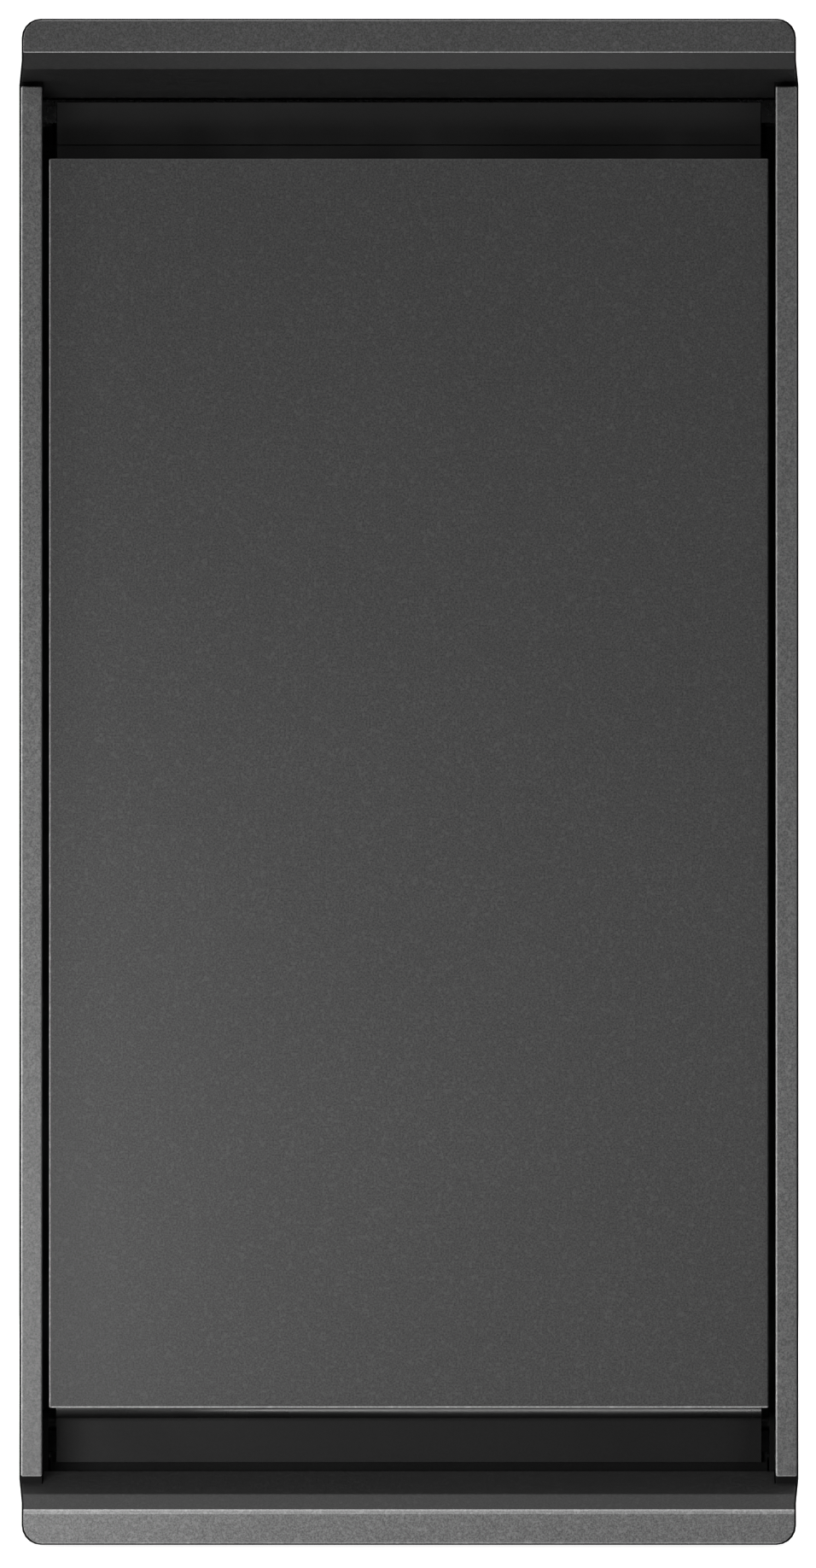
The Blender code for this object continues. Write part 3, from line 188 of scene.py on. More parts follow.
softbox("key_low_left", (-0.55, -1.2, 0.1), (0.05, -0.3, 0.1), 0.5, 0.2, 9.6)
softbox("grazing_left", (-1.6, -0.8, 0.2), (0, -0.3, 0.2), 0.3, 0.4, 6.6)
softbox("low_right", (0.9, -1.5, 0.1), (0.1, -0.3, 0.1), 0.5, 0.2, 4.5)
softbox("strip_high_front", (-0.3, -1.5, 2.9), (0, -0.3, 0.1), 2.4, 0.4, 5)
softbox("ridge_gloss", (-0.3, -1.5, 2.9), (0, -0.3, 0.1), 2.4, 0.4, 90, gloss_only=True)
NEAR_FLOOR, SLOPES = (0.06, -0.46, 0.012), (0.06, -0.29, 0.3)
streak = softbox("streak_near_floor", NEAR_FLOOR, SLOPES, 0.26, 0.07, 1.5, gloss_only=True)
wedge = softbox("wedge_near_floor", NEAR_FLOOR, SLOPES, 0.34, 0.07, 1.2, gloss_only=True)
pocket_fill = softbox("pocket_fill", (0, -2.4, 0.83), (0, -0.25, 0.81), 0.8, 0.2, 7)
softbox("side_left", (-4.5, 1.2, 1.4), (0, 0, 0.4), 3.6, 2.4, 110)
softbox("side_right", (4.5, 1.2, 1.4), (0, 0, 0.4), 3.6, 2.4, 110)
softbox("behind", (0.6, 4.5, 1.6), (0, 0, 0.4), 3.6, 2.4, 110)
softbox("overhead", (0, 0.6, 3.6), (0, 0.2, 0), 2.4, 2.0, 40)

# %% [markdown]
# Every finish below reads object coordinates, so a pattern has its true size in metres and rides with its piece.
# The powder coat is the main one. Real powder melts into a skin with a fine pebbled surface, and this colour is
# mixed with lighter flecks about a millimetre across. A noise gives the flecks and the pebbles, a wider noise
# gives slow changes of tone, and both roughness and bump follow them.

# %% Powder coat


def tones(tree, factor, *stops):
    """A colour ramp: pairs of position and grey level, or position and colour."""
    ramp = put("ValToRGB", tree, Fac=factor)
    points = ramp.color_ramp.elements
    while len(points) < len(stops):
        points.new(0.5)
    for point, (position, tone) in zip(points, sorted(stops, key=lambda stop: stop[0])):
        rgb = (tone,) * 3 if isinstance(tone, float) else tone
        point.position, point.color = position, (*rgb, 1.0)
    return ramp.outputs["Color"]


def noise(tree, spot, scale, detail=2.0, rough=0.55):
    return put("TexNoise", tree, Vector=spot, Scale=scale, Detail=detail, Roughness=rough).outputs[0]


def spread(tree, value, low, high, start=0.3, end=0.7):
    made = put("MapRange", tree, Value=value, From_Min=start, From_Max=end, To_Min=low, To_Max=high)
    return made.outputs[0]


def mixed(tree, factor, first, second, kind="MIX"):
    made = tree.nodes.new("ShaderNodeMix")
    made.data_type, made.blend_type = "RGBA", kind
    for socket, value in ((made.inputs[0], factor), (made.inputs[6], first), (made.inputs[7], second)):
        if isinstance(value, bpy.types.NodeSocket):
            tree.links.new(value, socket)
        else:
            socket.default_value = value
    return made.outputs[2]


def bumps(tree, shader, *layers):
    """Stacks bump layers of (height, distance in metres, strength) and gives the shader their normal."""
    normal = None
    for height, distance, strength in layers:
        made = put("Bump", tree, Height=height, Distance=distance, Strength=strength)
        if normal:
            tree.links.new(normal, made.inputs["Normal"])
        normal = made.outputs[0]
    tree.links.new(normal, shader.inputs["Normal"])


def powder_coat(name, tone, contrast=0.5, rough=0.5, tint=(1.0, 1.0, 1.0), pebble=0.35, gloss=0.5):
    """Speckled powder coat of a mean grey level: contrast is how far flecks and specks stray from it."""
    material, tree, shader = finish_named(name)
    shader.inputs["Specular IOR Level"].default_value = gloss
    spot = put("TexCoord", tree).outputs["Object"]
    grain, broad = noise(tree, spot, 1050.0, 3.0, 0.6), noise(tree, spot, 7.0, 3.0)
    fleck = put("TexVoronoi", tree, Vector=spot, Scale=620.0, Randomness=1.0).outputs["Color"]
    chance = put("SeparateColor", tree, Color=fleck).outputs[0]
    dark, light = tone * (1 - contrast), tone * (1 + contrast)
    speckle = tones(tree, grain, (0.34, tuple(dark * c for c in tint)), (0.5, tuple(tone * c for c in tint)),
                    (0.66, tuple(light * c for c in tint)))
    flecked = mixed(tree, spread(tree, chance, 0.0, 0.35, 0.86, 0.93), speckle,
                    (*(tone * 1.9 * c for c in tint), 1.0))
    slow = tones(tree, broad, (0.3, 0.92), (0.7, 1.0))
    tree.links.new(mixed(tree, 1.0, flecked, slow, "MULTIPLY"), shader.inputs["Base Color"])
    tree.links.new(spread(tree, grain, rough - 0.07, rough + 0.09), shader.inputs["Roughness"])
    bumps(tree, shader, (grain, 0.00012, pebble))
    return material


# One charcoal coat in lit and shaded copies, as painted light and shade: lightest on the bottom cap's face,
# between on the rails, darkest on the top cap's face.
bottom_lit_coat = powder_coat("charcoal_bottom_lit_coat", 0.113, 0.45, 0.46, gloss=0.4)
rail_lit_coat = powder_coat("charcoal_rail_lit_coat", 0.089, 0.45, 0.46, gloss=0.4)
top_shaded_coat = powder_coat("charcoal_top_shaded_coat", 0.06, 0.45, 0.46, gloss=0.4)
# Darker copies for the slopes of the caps, as painted shade: darkest under the top cap, a little lighter on the
# bottom cap's sill.
under_painted_shade_coat = powder_coat("charcoal_under_painted_shade_coat", 0.009, 0.4, 0.42, gloss=0.25)
sill_painted_shade_coat = powder_coat("charcoal_sill_painted_shade_coat", 0.024, 0.4, 0.5, gloss=0.2)
panel_coat = powder_coat("charcoal_panel_coat", 0.038, 0.55, 0.52, gloss=0.3)
# Pale copies for rounded edges, as painted highlights: the edges that look left or down towards the light, the
# bottom cap's ridge, and the drawer panel's left and bottom edges.
edge_painted_highlight_coat = powder_coat("charcoal_edge_painted_highlight_coat", 0.3, 0.3, 0.4, gloss=0.5)
ridge_painted_highlight_coat = powder_coat("charcoal_ridge_painted_highlight_coat", 0.22, 0.3, 0.4, gloss=0.5)
panel_edge_painted_highlight_coat = powder_coat("charcoal_panel_edge_painted_highlight_coat", 0.5, 0.3, 0.4, gloss=0.5)
print("coats", sum("coat" in made.name for made in bpy.data.materials))

# %% [markdown]
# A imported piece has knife-sharp edges where the real one is folded, moulded or cast, and a sharp edge never
# catches light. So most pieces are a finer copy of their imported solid: its flat faces are merged again, and each
# sharp edge gets a small round of its own radius. The copy stays inside the solid, and moves with its body.

# %% Finer edges
SHARP = 34
NODE_BODY = {node: body for body, members in frame["record"]["behaviour"]["bodies"].items() for node in members}


def as_piece(shape, name, finish, stands_for=(), body=None, smooth=38):
    """Turns a bmesh into a named piece that rides on its body, in one finish or in several by face index."""
    mesh = bpy.data.meshes.new(name)
    shape.to_mesh(mesh)
    shape.free()
    for one in finish if isinstance(finish, (list, tuple)) else [finish]:
        mesh.materials.append(one)
    piece = bpy.data.objects.new(name, mesh)
    bpy.context.scene.collection.objects.link(piece)
    mesh.shade_smooth()
    mesh.set_sharp_from_angle(angle=math.radians(smooth))
    flat = piece.modifiers.new("flat_faces_stay_flat", "WEIGHTED_NORMAL")
    flat.weight, flat.keep_sharp = 100, True
    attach(piece, body or NODE_BODY[stands_for[0]])
    if stands_for:
        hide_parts(*stands_for)
    return piece


def solid_of(node):
    """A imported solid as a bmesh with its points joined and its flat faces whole."""
    shape = bmesh.new()
    shape.from_mesh(frame["nodes"][node].data)
    bmesh.ops.remove_doubles(shape, verts=shape.verts, dist=3e-6)
    bmesh.ops.dissolve_limit(shape, angle_limit=math.radians(0.6), verts=shape.verts, edges=shape.edges)
    return shape


def round_edges(shape, radius, steps=2, sharp=SHARP):
    edges = [edge for edge in shape.edges if edge.is_manifold and edge.calc_face_angle() > math.radians(sharp)]
    bmesh.ops.bevel(shape, geom=edges, offset=radius, segments=steps, profile=0.5, affect="EDGES",
                    clamp_overlap=True)
    return shape


def finer(node, finish, radius=0.0005, steps=2):
    """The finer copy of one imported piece."""
    return as_piece(round_edges(solid_of(node), radius, steps), node + "_finish", finish, (node,))


# %% [markdown]
# The two caps are the face's thick rounded ends. Each is one pressing: a flat face, a slope and a roll back to the
# frame. All wear one kind of coat, but here each face of a cap takes a copy of it by its direction, as painted
# light and shade. The slopes are darker as painted shade. The rounded edges that look down and to the left,
# towards the light, are paler as a painted highlight, and so are the bottom cap's ridge edges that look up.

# %% Caps and rails
# Thresholds on the face normal that decide where painted shade and painted highlights go.
FACING = -0.8
FLAT_OUT, EDGE_OUT = -0.993, -0.2
EDGE_WIDTH, EDGE_DEPTH = 0.001, 0.0015


def paint_light_by_face(piece):
    """Paints light and shade into the finish by face direction. Faces that look straight out take the first finish
    and all others the second, which on the caps is painted shade. On the rounded edges of the front, those that
    look left or down take the third, a painted highlight, and those that look up the last, a painted highlight on
    the bottom cap's ridge."""
    points = piece.data.vertices
    front = min(point.co.y for point in points)
    for face in piece.data.polygons:
        longest = max((points[a].co - points[b].co).length for a, b in face.edge_keys)
        across, out, up = face.normal
        narrow = face.area < EDGE_WIDTH * longest and face.center.y < front + EDGE_DEPTH
        on_edge = narrow and FLAT_OUT < out < EDGE_OUT
        face.material_index = 0 if out < FACING else 1
        if on_edge and min(across, up) < EDGE_OUT:
            face.material_index = 2
        elif on_edge and up > 0.1:
            face.material_index = len(piece.data.materials) - 1


top_coats = [top_shaded_coat, under_painted_shade_coat, edge_painted_highlight_coat, top_shaded_coat]
bottom_coats = [bottom_lit_coat, sill_painted_shade_coat, edge_painted_highlight_coat, ridge_painted_highlight_coat]
for cap, coats in (("top_cap", top_coats), ("bottom_cap", bottom_coats)):
    made = finer(cap, coats, 0.0007, 3)
    paint_light_by_face(made)
    print(made.name, len(made.data.polygons), "faces")

# The rails take the painted highlight on their rounded edges that look left or down.
for rail in sorted(node for node in frame["nodes"] if node.startswith("side_rail")):
    paint_light_by_face(finer(rail, [rail_lit_coat, rail_lit_coat, edge_painted_highlight_coat, rail_lit_coat], 0.0007, 3))

# The drawer panel takes a pale painted highlight on its rounded edges that look left or down.
panel_coats = [panel_coat, panel_coat, panel_edge_painted_highlight_coat, panel_coat]
paint_light_by_face(finer("drawer_panel", panel_coats, 0.0012, 3))

# %% [markdown]
# The other finishes share four recipes. A moulded plastic has a fine spark-eroded grain. A rolled or plated sheet
# has crystals or clouds of zinc. A turned or ground metal has fine streaks from the tool. A casting or a hammered
# paint has lumps. In each, one pattern moves the colour, the roughness and the height together, because on a real
# surface they are one thing.

# %% Other finishes


def tinted(tone, tint):
    return tuple(tone * channel for channel in tint)


def moulded(name, tone, tint=(1, 1, 1), rough=0.5, grain=900.0, height=0.00005, speck=0.2, gloss=0.5, rub=0.16):
    """Grained plastic, rubber or smooth paint. Gloss is the specular level, rub the depth of rubbed clouds."""
    material, tree, shader = finish_named(name)
    shader.inputs["Specular IOR Level"].default_value = gloss
    spot = put("TexCoord", tree).outputs["Object"]
    fine, cloud = noise(tree, spot, grain, 3.0), noise(tree, spot, 14.0, 4.0)
    body = tones(tree, fine, (0.3, tinted(tone * (1 - speck), tint)), (0.7, tinted(tone * (1 + speck), tint)))
    rubbed = tones(tree, cloud, (0.35, 1.0 - rub), (0.65, 1.0))
    tree.links.new(mixed(tree, 1.0, body, rubbed, "MULTIPLY"), shader.inputs["Base Color"])
    tree.links.new(spread(tree, cloud, rough - rub / 2, rough + rub / 2), shader.inputs["Roughness"])
    bumps(tree, shader, (fine, height, 0.4))
    return material


def metal(name, tone, tint=(1, 1, 1), rough=0.35, stretch=(1, 1, 1), scale=420.0, crystals=None):
    """Bare metal. Stretch draws the grain out along an axis, and crystals is a spangle's count per metre."""
    material, tree, shader = finish_named(name)
    spot = put("TexCoord", tree).outputs["Object"]
    drawn = put("Mapping", tree, Vector=spot, Scale=stretch).outputs[0]
    streak, cloud = noise(tree, drawn, scale, 4.0, 0.6), noise(tree, spot, 22.0, 4.0)
    pattern = streak
    if crystals:
        cell = put("TexVoronoi", tree, Vector=spot, Scale=crystals).outputs["Color"]
        pattern = put("SeparateColor", tree, Color=cell).outputs[0]
    darkest = 0.88 if crystals else 0.78
    body = tones(tree, pattern, (0.15, tinted(tone * darkest, tint)), (0.85, tinted(tone * 1.08, tint)))
    dulled = tones(tree, cloud, (0.35, 0.8), (0.65, 1.0))
    tree.links.new(mixed(tree, 1.0, body, dulled, "MULTIPLY"), shader.inputs["Base Color"])
    shader.inputs["Metallic"].default_value = 1.0
    tree.links.new(spread(tree, pattern, rough - 0.07, rough + 0.12), shader.inputs["Roughness"])
    bumps(tree, shader, (streak, 0.00003, 0.3))
    return material


def lumpy(name, tone, tint=(1, 1, 1), rough=0.4, scale=260.0, height=0.0003, metallic=0.0):
    """A sand casting or hammered paint: rounded lumps that catch the light one by one."""
    material, tree, shader = finish_named(name)
    spot = put("TexCoord", tree).outputs["Object"]
    cells = put("TexVoronoi", tree, settings={"feature": "SMOOTH_F1"}, Vector=spot, Scale=scale)
    lump = cells.outputs["Distance"]
    fine = noise(tree, spot, scale * 3, 3.0)
    body = tones(tree, lump, (0.1, tinted(tone * 1.12, tint)), (0.7, tinted(tone * 0.75, tint)))
    tree.links.new(body, shader.inputs["Base Color"])
    shader.inputs["Metallic"].default_value = metallic
    tree.links.new(spread(tree, fine, rough - 0.08, rough + 0.1), shader.inputs["Roughness"])
    bumps(tree, shader, (lump, height, 0.5), (fine, height / 6, 0.3))
    return material


# Near black for the frame, the pedal brackets and the toe flap: painted shade.
painted_shade_black = moulded("painted_shade_black", 0.004, rough=0.62, grain=700.0, gloss=0.06)
# Near black for the finger pull, the carrier and the toe plate: painted shade for the recesses under the caps.
shadow_plastic = moulded("shadow_plastic", 0.009, rough=0.5, grain=1100.0, height=0.00008, gloss=0.12)
bead_plastic = moulded("bead_plastic", 0.006, rough=0.3, grain=1100.0, height=0.00004, gloss=0.3)
# Black oxide steel for the pedal shaft, kept this dark as painted shade for the gaps beside the toe plate.
black_oxide_painted_shade = metal("black_oxide_painted_shade_steel", 0.03, rough=0.5, scale=400.0)
control_plastic = moulded("control_plastic", 0.02, rough=0.38, grain=1500.0)
cabinet_enamel = moulded("cabinet_enamel", 0.055, rough=0.66, grain=330.0, height=0.00008, speck=0.1,
                         gloss=0.16, rub=0.04)
bin_plastic = moulded("bin_plastic", 0.2, (0.95, 0.98, 1.0), 0.42, 750.0, 0.0001, 0.06)
nylon = moulded("white_nylon", 0.62, (1.0, 0.98, 0.93), 0.38, 500.0, speck=0.04)
rubber = moulded("black_rubber", 0.018, rough=0.72, grain=600.0, height=0.0001)
start_cap = moulded("start_button_green", 0.3, (0.12, 1.0, 0.38), 0.3, 900.0, speck=0.06)
stop_cap = moulded("stop_button_red", 0.42, (1.0, 0.09, 0.07), 0.3, 900.0, speck=0.06)
carbon = lumpy("filter_carbon", 0.016, rough=0.7, scale=520.0, height=0.0012)
zinc_sheet = metal("zinc_sheet", 0.56, (0.97, 0.99, 1.0), 0.4, crystals=130.0)
zinc_plate = metal("zinc_plated_steel", 0.62, (0.98, 0.98, 1.0), 0.27, scale=300.0)
turned_steel = metal("turned_steel", 0.5, (1.0, 0.99, 0.97), 0.24, (1, 1, 9), 300.0)
bronze = metal("nut_bronze", 0.62, (1.0, 0.68, 0.36), 0.3, (1, 1, 6), 260.0)
chain_steel = metal("oiled_chain_steel", 0.2, (1.0, 0.93, 0.84), 0.3, scale=500.0)
ram_hammered = lumpy("ram_hammered_paint", 0.05, rough=0.34, scale=330.0)
motor_enamel = lumpy("motor_enamel", 0.045, (0.85, 0.93, 1.0), 0.36, 420.0, 0.0001)
cast_alloy = lumpy("cast_alloy", 0.5, (0.98, 0.99, 1.0), 0.44, 380.0, 0.00025, 1.0)
print("finishes", len(bpy.data.materials))

# %% [markdown]
# The frame stands behind the caps and rails and shows only as a thin edge round them. Its near-black tone is
# painted shade: it draws the dark outline of the shaded edges and the dark gaps round the panel, over a fine matt
# grain. The finger pull, the carrier behind the panel and the toe plate have a satin face. Their near-black tone
# is painted shade for the recesses under the caps, where they also lie in the caps' real shadow, so only their
# rounded edges show. The bead is a moulded black part with a satin face. The pieces that a linked light needs are
# kept by name.

# %% Frame, carrier and plates
# Near-black frame: painted shade for the dark outline round the caps and rails and the gaps round the panel.
finer("front_frame", painted_shade_black, 0.0004)
shaded = [finer(node, shadow_plastic, 0.0006, 3) for node in ("front_carrier", "grip_plate")]
finer("toe_pedal", shadow_plastic, 0.0006, 3)
bead = finer("bottom_bead", bead_plastic, 0.0006, 3)
print("in the shade", [made.name for made in shaded])

# %% [markdown]
# Three of the lights should touch one or two pieces each, as a small lamp behind a flag does in a studio. So each
# is linked to a collection of the pieces that it may light.

# %% Linked lights


def link_light(light, pieces):
    receivers = bpy.data.collections.new(light.name + "_receivers")
    for made in pieces:
        receivers.objects.link(made)
    light.light_linking.receiver_collection = receivers
    print(light.name, "lights", len(pieces))


link_light(streak, [bpy.data.objects["top_cap_finish"]])
link_light(wedge, [bead])
link_light(pocket_fill, shaded)

# %% [markdown]
# Screws, pins and rivets turn up on most of the pieces behind the front. One helper turns a profile round an axis,
# and another sets many copies of a screw head on a row of spots as one piece. The screw is a pan head with a
# cross recess, as a factory driver needs. The recess is real, sunk into the head as a small star.

# %% Turned shapes and screw heads


def stood(place, axis):
    """The matrix that stands a shape on a place, its Z along the axis."""
    turn = Vector((0, 0, 1)).rotation_difference(Vector(axis)).to_matrix().to_4x4()
    turn.translation = Vector(place)
    return turn


def ring_of(shape, turn, radius, height, steps):
    """One ring of points, or a single point where the radius is nothing."""
    if radius < 1e-6:
        return [shape.verts.new(turn @ Vector((0, 0, height)))]
    angles = [2 * math.pi * step / steps for step in range(steps)]
    return [shape.verts.new(turn @ Vector((radius * math.cos(a), radius * math.sin(a), height))) for a in angles]


def turned(shape, profile, place, axis=(0, 0, 1), steps=32):
    """Adds a lathe shape to a bmesh: profile is a list of (radius, height), from axis to axis."""
    turn = stood(place, axis)
    rings = [ring_of(shape, turn, radius, height, steps) for radius, height in profile]
    for low, high in zip(rings, rings[1:]):
        for step in range(steps):
            after = (step + 1) % steps
            corners = [low[step % len(low)], low[after % len(low)],
                       high[after % len(high)], high[step % len(high)]]
            unique = [corner for index, corner in enumerate(corners) if corner not in corners[:index]]
            if len(unique) > 2:
                shape.faces.new(unique)
    return shape


def star(shape, place, axis, reach, waist, depth, points=4, out=0.0):
    """Adds a shallow star-shaped plug, dark at its floor, as the recess of a screw."""
    turn = stood(place, axis)
    rim, floor_ring = [], []
    for step in range(points * 2):
        radius, angle = (waist if step % 2 else reach), math.pi * step / points
        spot = Vector((radius * math.cos(angle), radius * math.sin(angle), out))
        rim.append(shape.verts.new(turn @ spot))
        floor_ring.append(shape.verts.new(turn @ (spot * 0.75 - Vector((0, 0, depth)))))
    for step in range(points * 2):
        after = (step + 1) % (points * 2)
        shape.faces.new((rim[step], floor_ring[step], floor_ring[after], rim[after]))
    shape.faces.new(floor_ring)
    return rim


CROWN = [(0.8, 0.99), (0.95, 0.75), (1.0, 0.35), (1.0, 0.0)]


def pan_heads(name, spots, axis, body, radius=0.0038, rise=0.0022):
    """One piece of pan-head screws, each standing on its spot and facing along the axis."""
    shape = bmesh.new()
    for spot in spots:
        rim = star(shape, spot, axis, radius * 0.62, radius * 0.2, rise * 0.55, out=rise)
        turn, steps = stood(spot, axis), len(rim) * 3
        rings = [ring_of(shape, turn, radius * share, rise * up, steps) for share, up in CROWN]
        for k in range(len(rim)):
            fan = [rings[0][(3 * k + step) % steps] for step in range(4)]
            shape.faces.new([rim[k], *fan, rim[(k + 1) % len(rim)]])
        for upper, lower in zip(rings, rings[1:]):
            for k in range(steps):
                after = (k + 1) % steps
                shape.faces.new((upper[k], lower[k], lower[after], upper[after]))
        shape.faces.new(rings[-1])
    bmesh.ops.recalc_face_normals(shape, faces=shape.faces)
    return as_piece(shape, name, zinc_plate, body=body)


def along(first, last, count):
    """Evenly spaced spots from the first to the last."""
    first, last = Vector(first), Vector(last)
    return [first.lerp(last, step / (count - 1)) for step in range(count)]


# %% [markdown]
# The cabinet is a folded sheet that wraps over the top and down both sides, in a dark enamel with the faint
# orange peel of a sprayed finish. The back closes with a bare galvanised panel. Both are held by rows of screws,
# and the filter cover on the back is a small louvred plate that comes off with four.

# %% Cabinet sheets
finer("cabinet_wrap", cabinet_enamel, 0.0006)
finer("back_panel", zinc_sheet, 0.0004)
finer("base_pan", zinc_sheet, 0.0004)
finer("filter_cover", cabinet_enamel, 0.0004)
finer("charcoal_filter", carbon, 0.0006)

back_low, back_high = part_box("back_panel")
cover_low, cover_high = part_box("filter_cover")
cover_spots = [(x, cover_high.y, z) for x in (cover_low.x + 0.006, cover_high.x - 0.006)
               for z in (cover_low.z + 0.007, cover_high.z - 0.007)]
pan_heads("filter_cover_screws", cover_spots, (0, 1, 0), "cabinet", 0.003, 0.0016)
BACK_MARGIN = 0.011
back_spots = []
for x in (back_low.x + BACK_MARGIN, back_high.x - BACK_MARGIN):
    back_spots += along((x, back_high.y, back_low.z + 0.03), (x, back_high.y, back_high.z - 0.03), 6)
row = back_high.z - BACK_MARGIN
back_spots += along((-0.12, back_high.y, row), (0.12, back_high.y, row), 3)
pan_heads("back_panel_screws", back_spots, (0, 1, 0), "cabinet")
print("screws on the back", len(back_spots) + len(cover_spots))

# %% [markdown]
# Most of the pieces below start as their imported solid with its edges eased, and then gain the ribs, bolts and
# beads that a die or a mould would give them. Four helpers add such parts to a bmesh: a block with eased edges,
# a bolt with a hexagon head and washer, a tube along a path, and a join that pours one bmesh into another.

# %% Parts to add


def pour(shape, part):
    """Moves everything in one bmesh into another."""
    holder = bpy.data.meshes.new("pouring")
    part.to_mesh(holder)
    part.free()
    shape.from_mesh(holder)
    bpy.data.meshes.remove(holder)
    return shape


def add_block(shape, low, high, radius=0.0, steps=2):
    part = bmesh.new()
    bmesh.ops.create_cube(part, size=1.0)
    low, high = Vector(map(min, low, high)), Vector(map(max, low, high))
    for vert in part.verts:
        vert.co = Vector(a + (share + 0.5) * (b - a) for a, b, share in zip(low, high, vert.co))
    if radius:
        bmesh.ops.bevel(part, geom=part.edges[:], offset=radius, segments=steps, profile=0.5, affect="EDGES")
    return pour(shape, part)


def add_turned(shape, profile, place, axis=(0, 0, 1), steps=32):
    part = turned(bmesh.new(), profile, place, axis, steps)
    bmesh.ops.recalc_face_normals(part, faces=part.faces)
    return pour(shape, part)


def add_bolt(shape, place, axis, size=0.004):
    """A hexagon bolt of that shank radius, standing on its spot with a washer under its head."""
    washer = [(0, 0), (size * 2.1, 0), (size * 2.2, size * 0.12), (size * 2.1, size * 0.35), (0, size * 0.35)]
    head = [(0, size * 0.3), (size * 1.6, size * 0.3), (size * 1.75, size * 0.45), (size * 1.75, size * 1.35),
            (size * 1.5, size * 1.6), (0, size * 1.6)]
    add_turned(shape, washer, place, axis, 24)
    return add_turned(shape, head, place, axis, 6)


def add_tube(shape, path, radius, steps=12):
    """A tube through the points, with closed ends. Its frame is carried along, so it never twists."""
    part = bmesh.new()
    path = [Vector(point) for point in path]
    heading = (path[1] - path[0]).normalized()
    across = heading.orthogonal().normalized()
    rings = []
    for index, point in enumerate(path):
        ahead = (path[min(index + 1, len(path) - 1)] - path[max(index - 1, 0)]).normalized()
        across = (across - ahead * across.dot(ahead)).normalized()
        up = ahead.cross(across)
        here = radius[index] if isinstance(radius, list) else radius
        rings.append([part.verts.new(point + here * (across * math.cos(angle) + up * math.sin(angle)))
                      for angle in (2 * math.pi * step / steps for step in range(steps))])
    for first, second in zip(rings, rings[1:]):
        for step in range(steps):
            after = (step + 1) % steps
            part.faces.new((first[step], first[after], second[after], second[step]))
    part.faces.new(rings[0][::-1])
    part.faces.new(rings[-1])
    bmesh.ops.recalc_face_normals(part, faces=part.faces)
    return pour(shape, part)


def eased(node, radius=0.0005, steps=2):
    return round_edges(solid_of(node), radius, steps)


def centre(node):
    low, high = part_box(node)
    return (low + high) / 2


# %% [markdown]
# The ram hangs from two power screws. Their thread is what moves it: a coarse thread that climbs one pitch in
# each turn. It could be a bump pattern, but its edge shows against the light, so it is real. One strip of a
# thread profile is wound up the screw in steps, and each turn's upper edge is welded to the next turn's lower.

# %% Power screws
LEAD = 0.012
THREAD_DEPTH = 0.0016
THREAD_STEPS = 20
SCREW_NECK, CHAMFER = 0.0079, 0.0006
THREAD_SHARES = ((0.0, 1), (0.30, 1), (0.42, 0), (0.88, 0), (1.0, 1))


def power_screw(side):
    node = "power_screw_" + side
    low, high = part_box(node)
    axis, crest = centre(node), (high.x - low.x) / 2
    start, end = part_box("drawer_track_" + side)[0].z - 0.002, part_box("crosshead")[1].z + 0.012
    shape = bmesh.new()
    columns = int((end - start) / LEAD * THREAD_STEPS)
    wound = []
    for column in range(columns + 1):
        angle = 2 * math.pi * column / THREAD_STEPS
        base = start - LEAD / 2 + LEAD * column / THREAD_STEPS
        spots = []
        for share, root in THREAD_SHARES:
            radius = crest - THREAD_DEPTH * root
            height = min(max(base + share * LEAD, start), end)
            x, y = axis.x + radius * math.cos(angle), axis.y + radius * math.sin(angle)
            spots.append(shape.verts.new((x, y, height)))
        wound.append(spots)
    for first, second in zip(wound, wound[1:]):
        for step in range(len(THREAD_SHARES) - 1):
            shape.faces.new((first[step], second[step], second[step + 1], first[step + 1]))
    bmesh.ops.remove_doubles(shape, verts=shape.verts, dist=1e-6)
    bmesh.ops.dissolve_degenerate(shape, edges=shape.edges, dist=1e-7)
    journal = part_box("lower_bearing_" + side)[0].z + 0.0003
    for radius, first, last in ((SCREW_NECK, journal, start + 0.001), (SCREW_NECK, end - 0.001, high.z),
                                (crest, start, start + 0.003), (crest, end - 0.003, end)):
        shoulder = [(0, first), (radius - CHAMFER, first), (radius, first + CHAMFER), (radius, last - CHAMFER),
                    (radius - CHAMFER, last), (0, last)]
        add_turned(shape, shoulder, (axis.x, axis.y, 0))
    return as_piece(shape, node + "_thread", turned_steel, (node,), smooth=28)


for side in ("left", "right"):
    made = power_screw(side)
    print(made.name, len(made.data.polygons), "faces")

# %% [markdown]
# The bronze nuts carry the ram on those threads. Each is a plain flanged nut under the crosshead. The bearings
# at both ends of a screw are plain bronze bushes with a small chamfer.

# %% Nuts and bearings
for side in ("left", "right"):
    finer("power_nut_" + side, bronze, 0.0004)
    for place in ("lower", "upper"):
        finer(f"{place}_bearing_{side}", bronze, 0.0005)

# %% [markdown]
# The ram is a welded pressing in hammered black paint: a square tube between the platen, which meets the trash,
# and the crosshead, which the nuts pull down. The platen gets stiffening ribs in its tray and the crosshead gets
# gussets and the bolts that hold the tube. All stand on their neighbour, as weldments do.

# %% Ram
platen_low, platen_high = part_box("ram_platen")
tube_low, tube_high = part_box("ram_body")
head_low, head_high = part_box("crosshead")
ram_y = (tube_low.y + tube_high.y) / 2
PLATEN_SHEET = 0.003

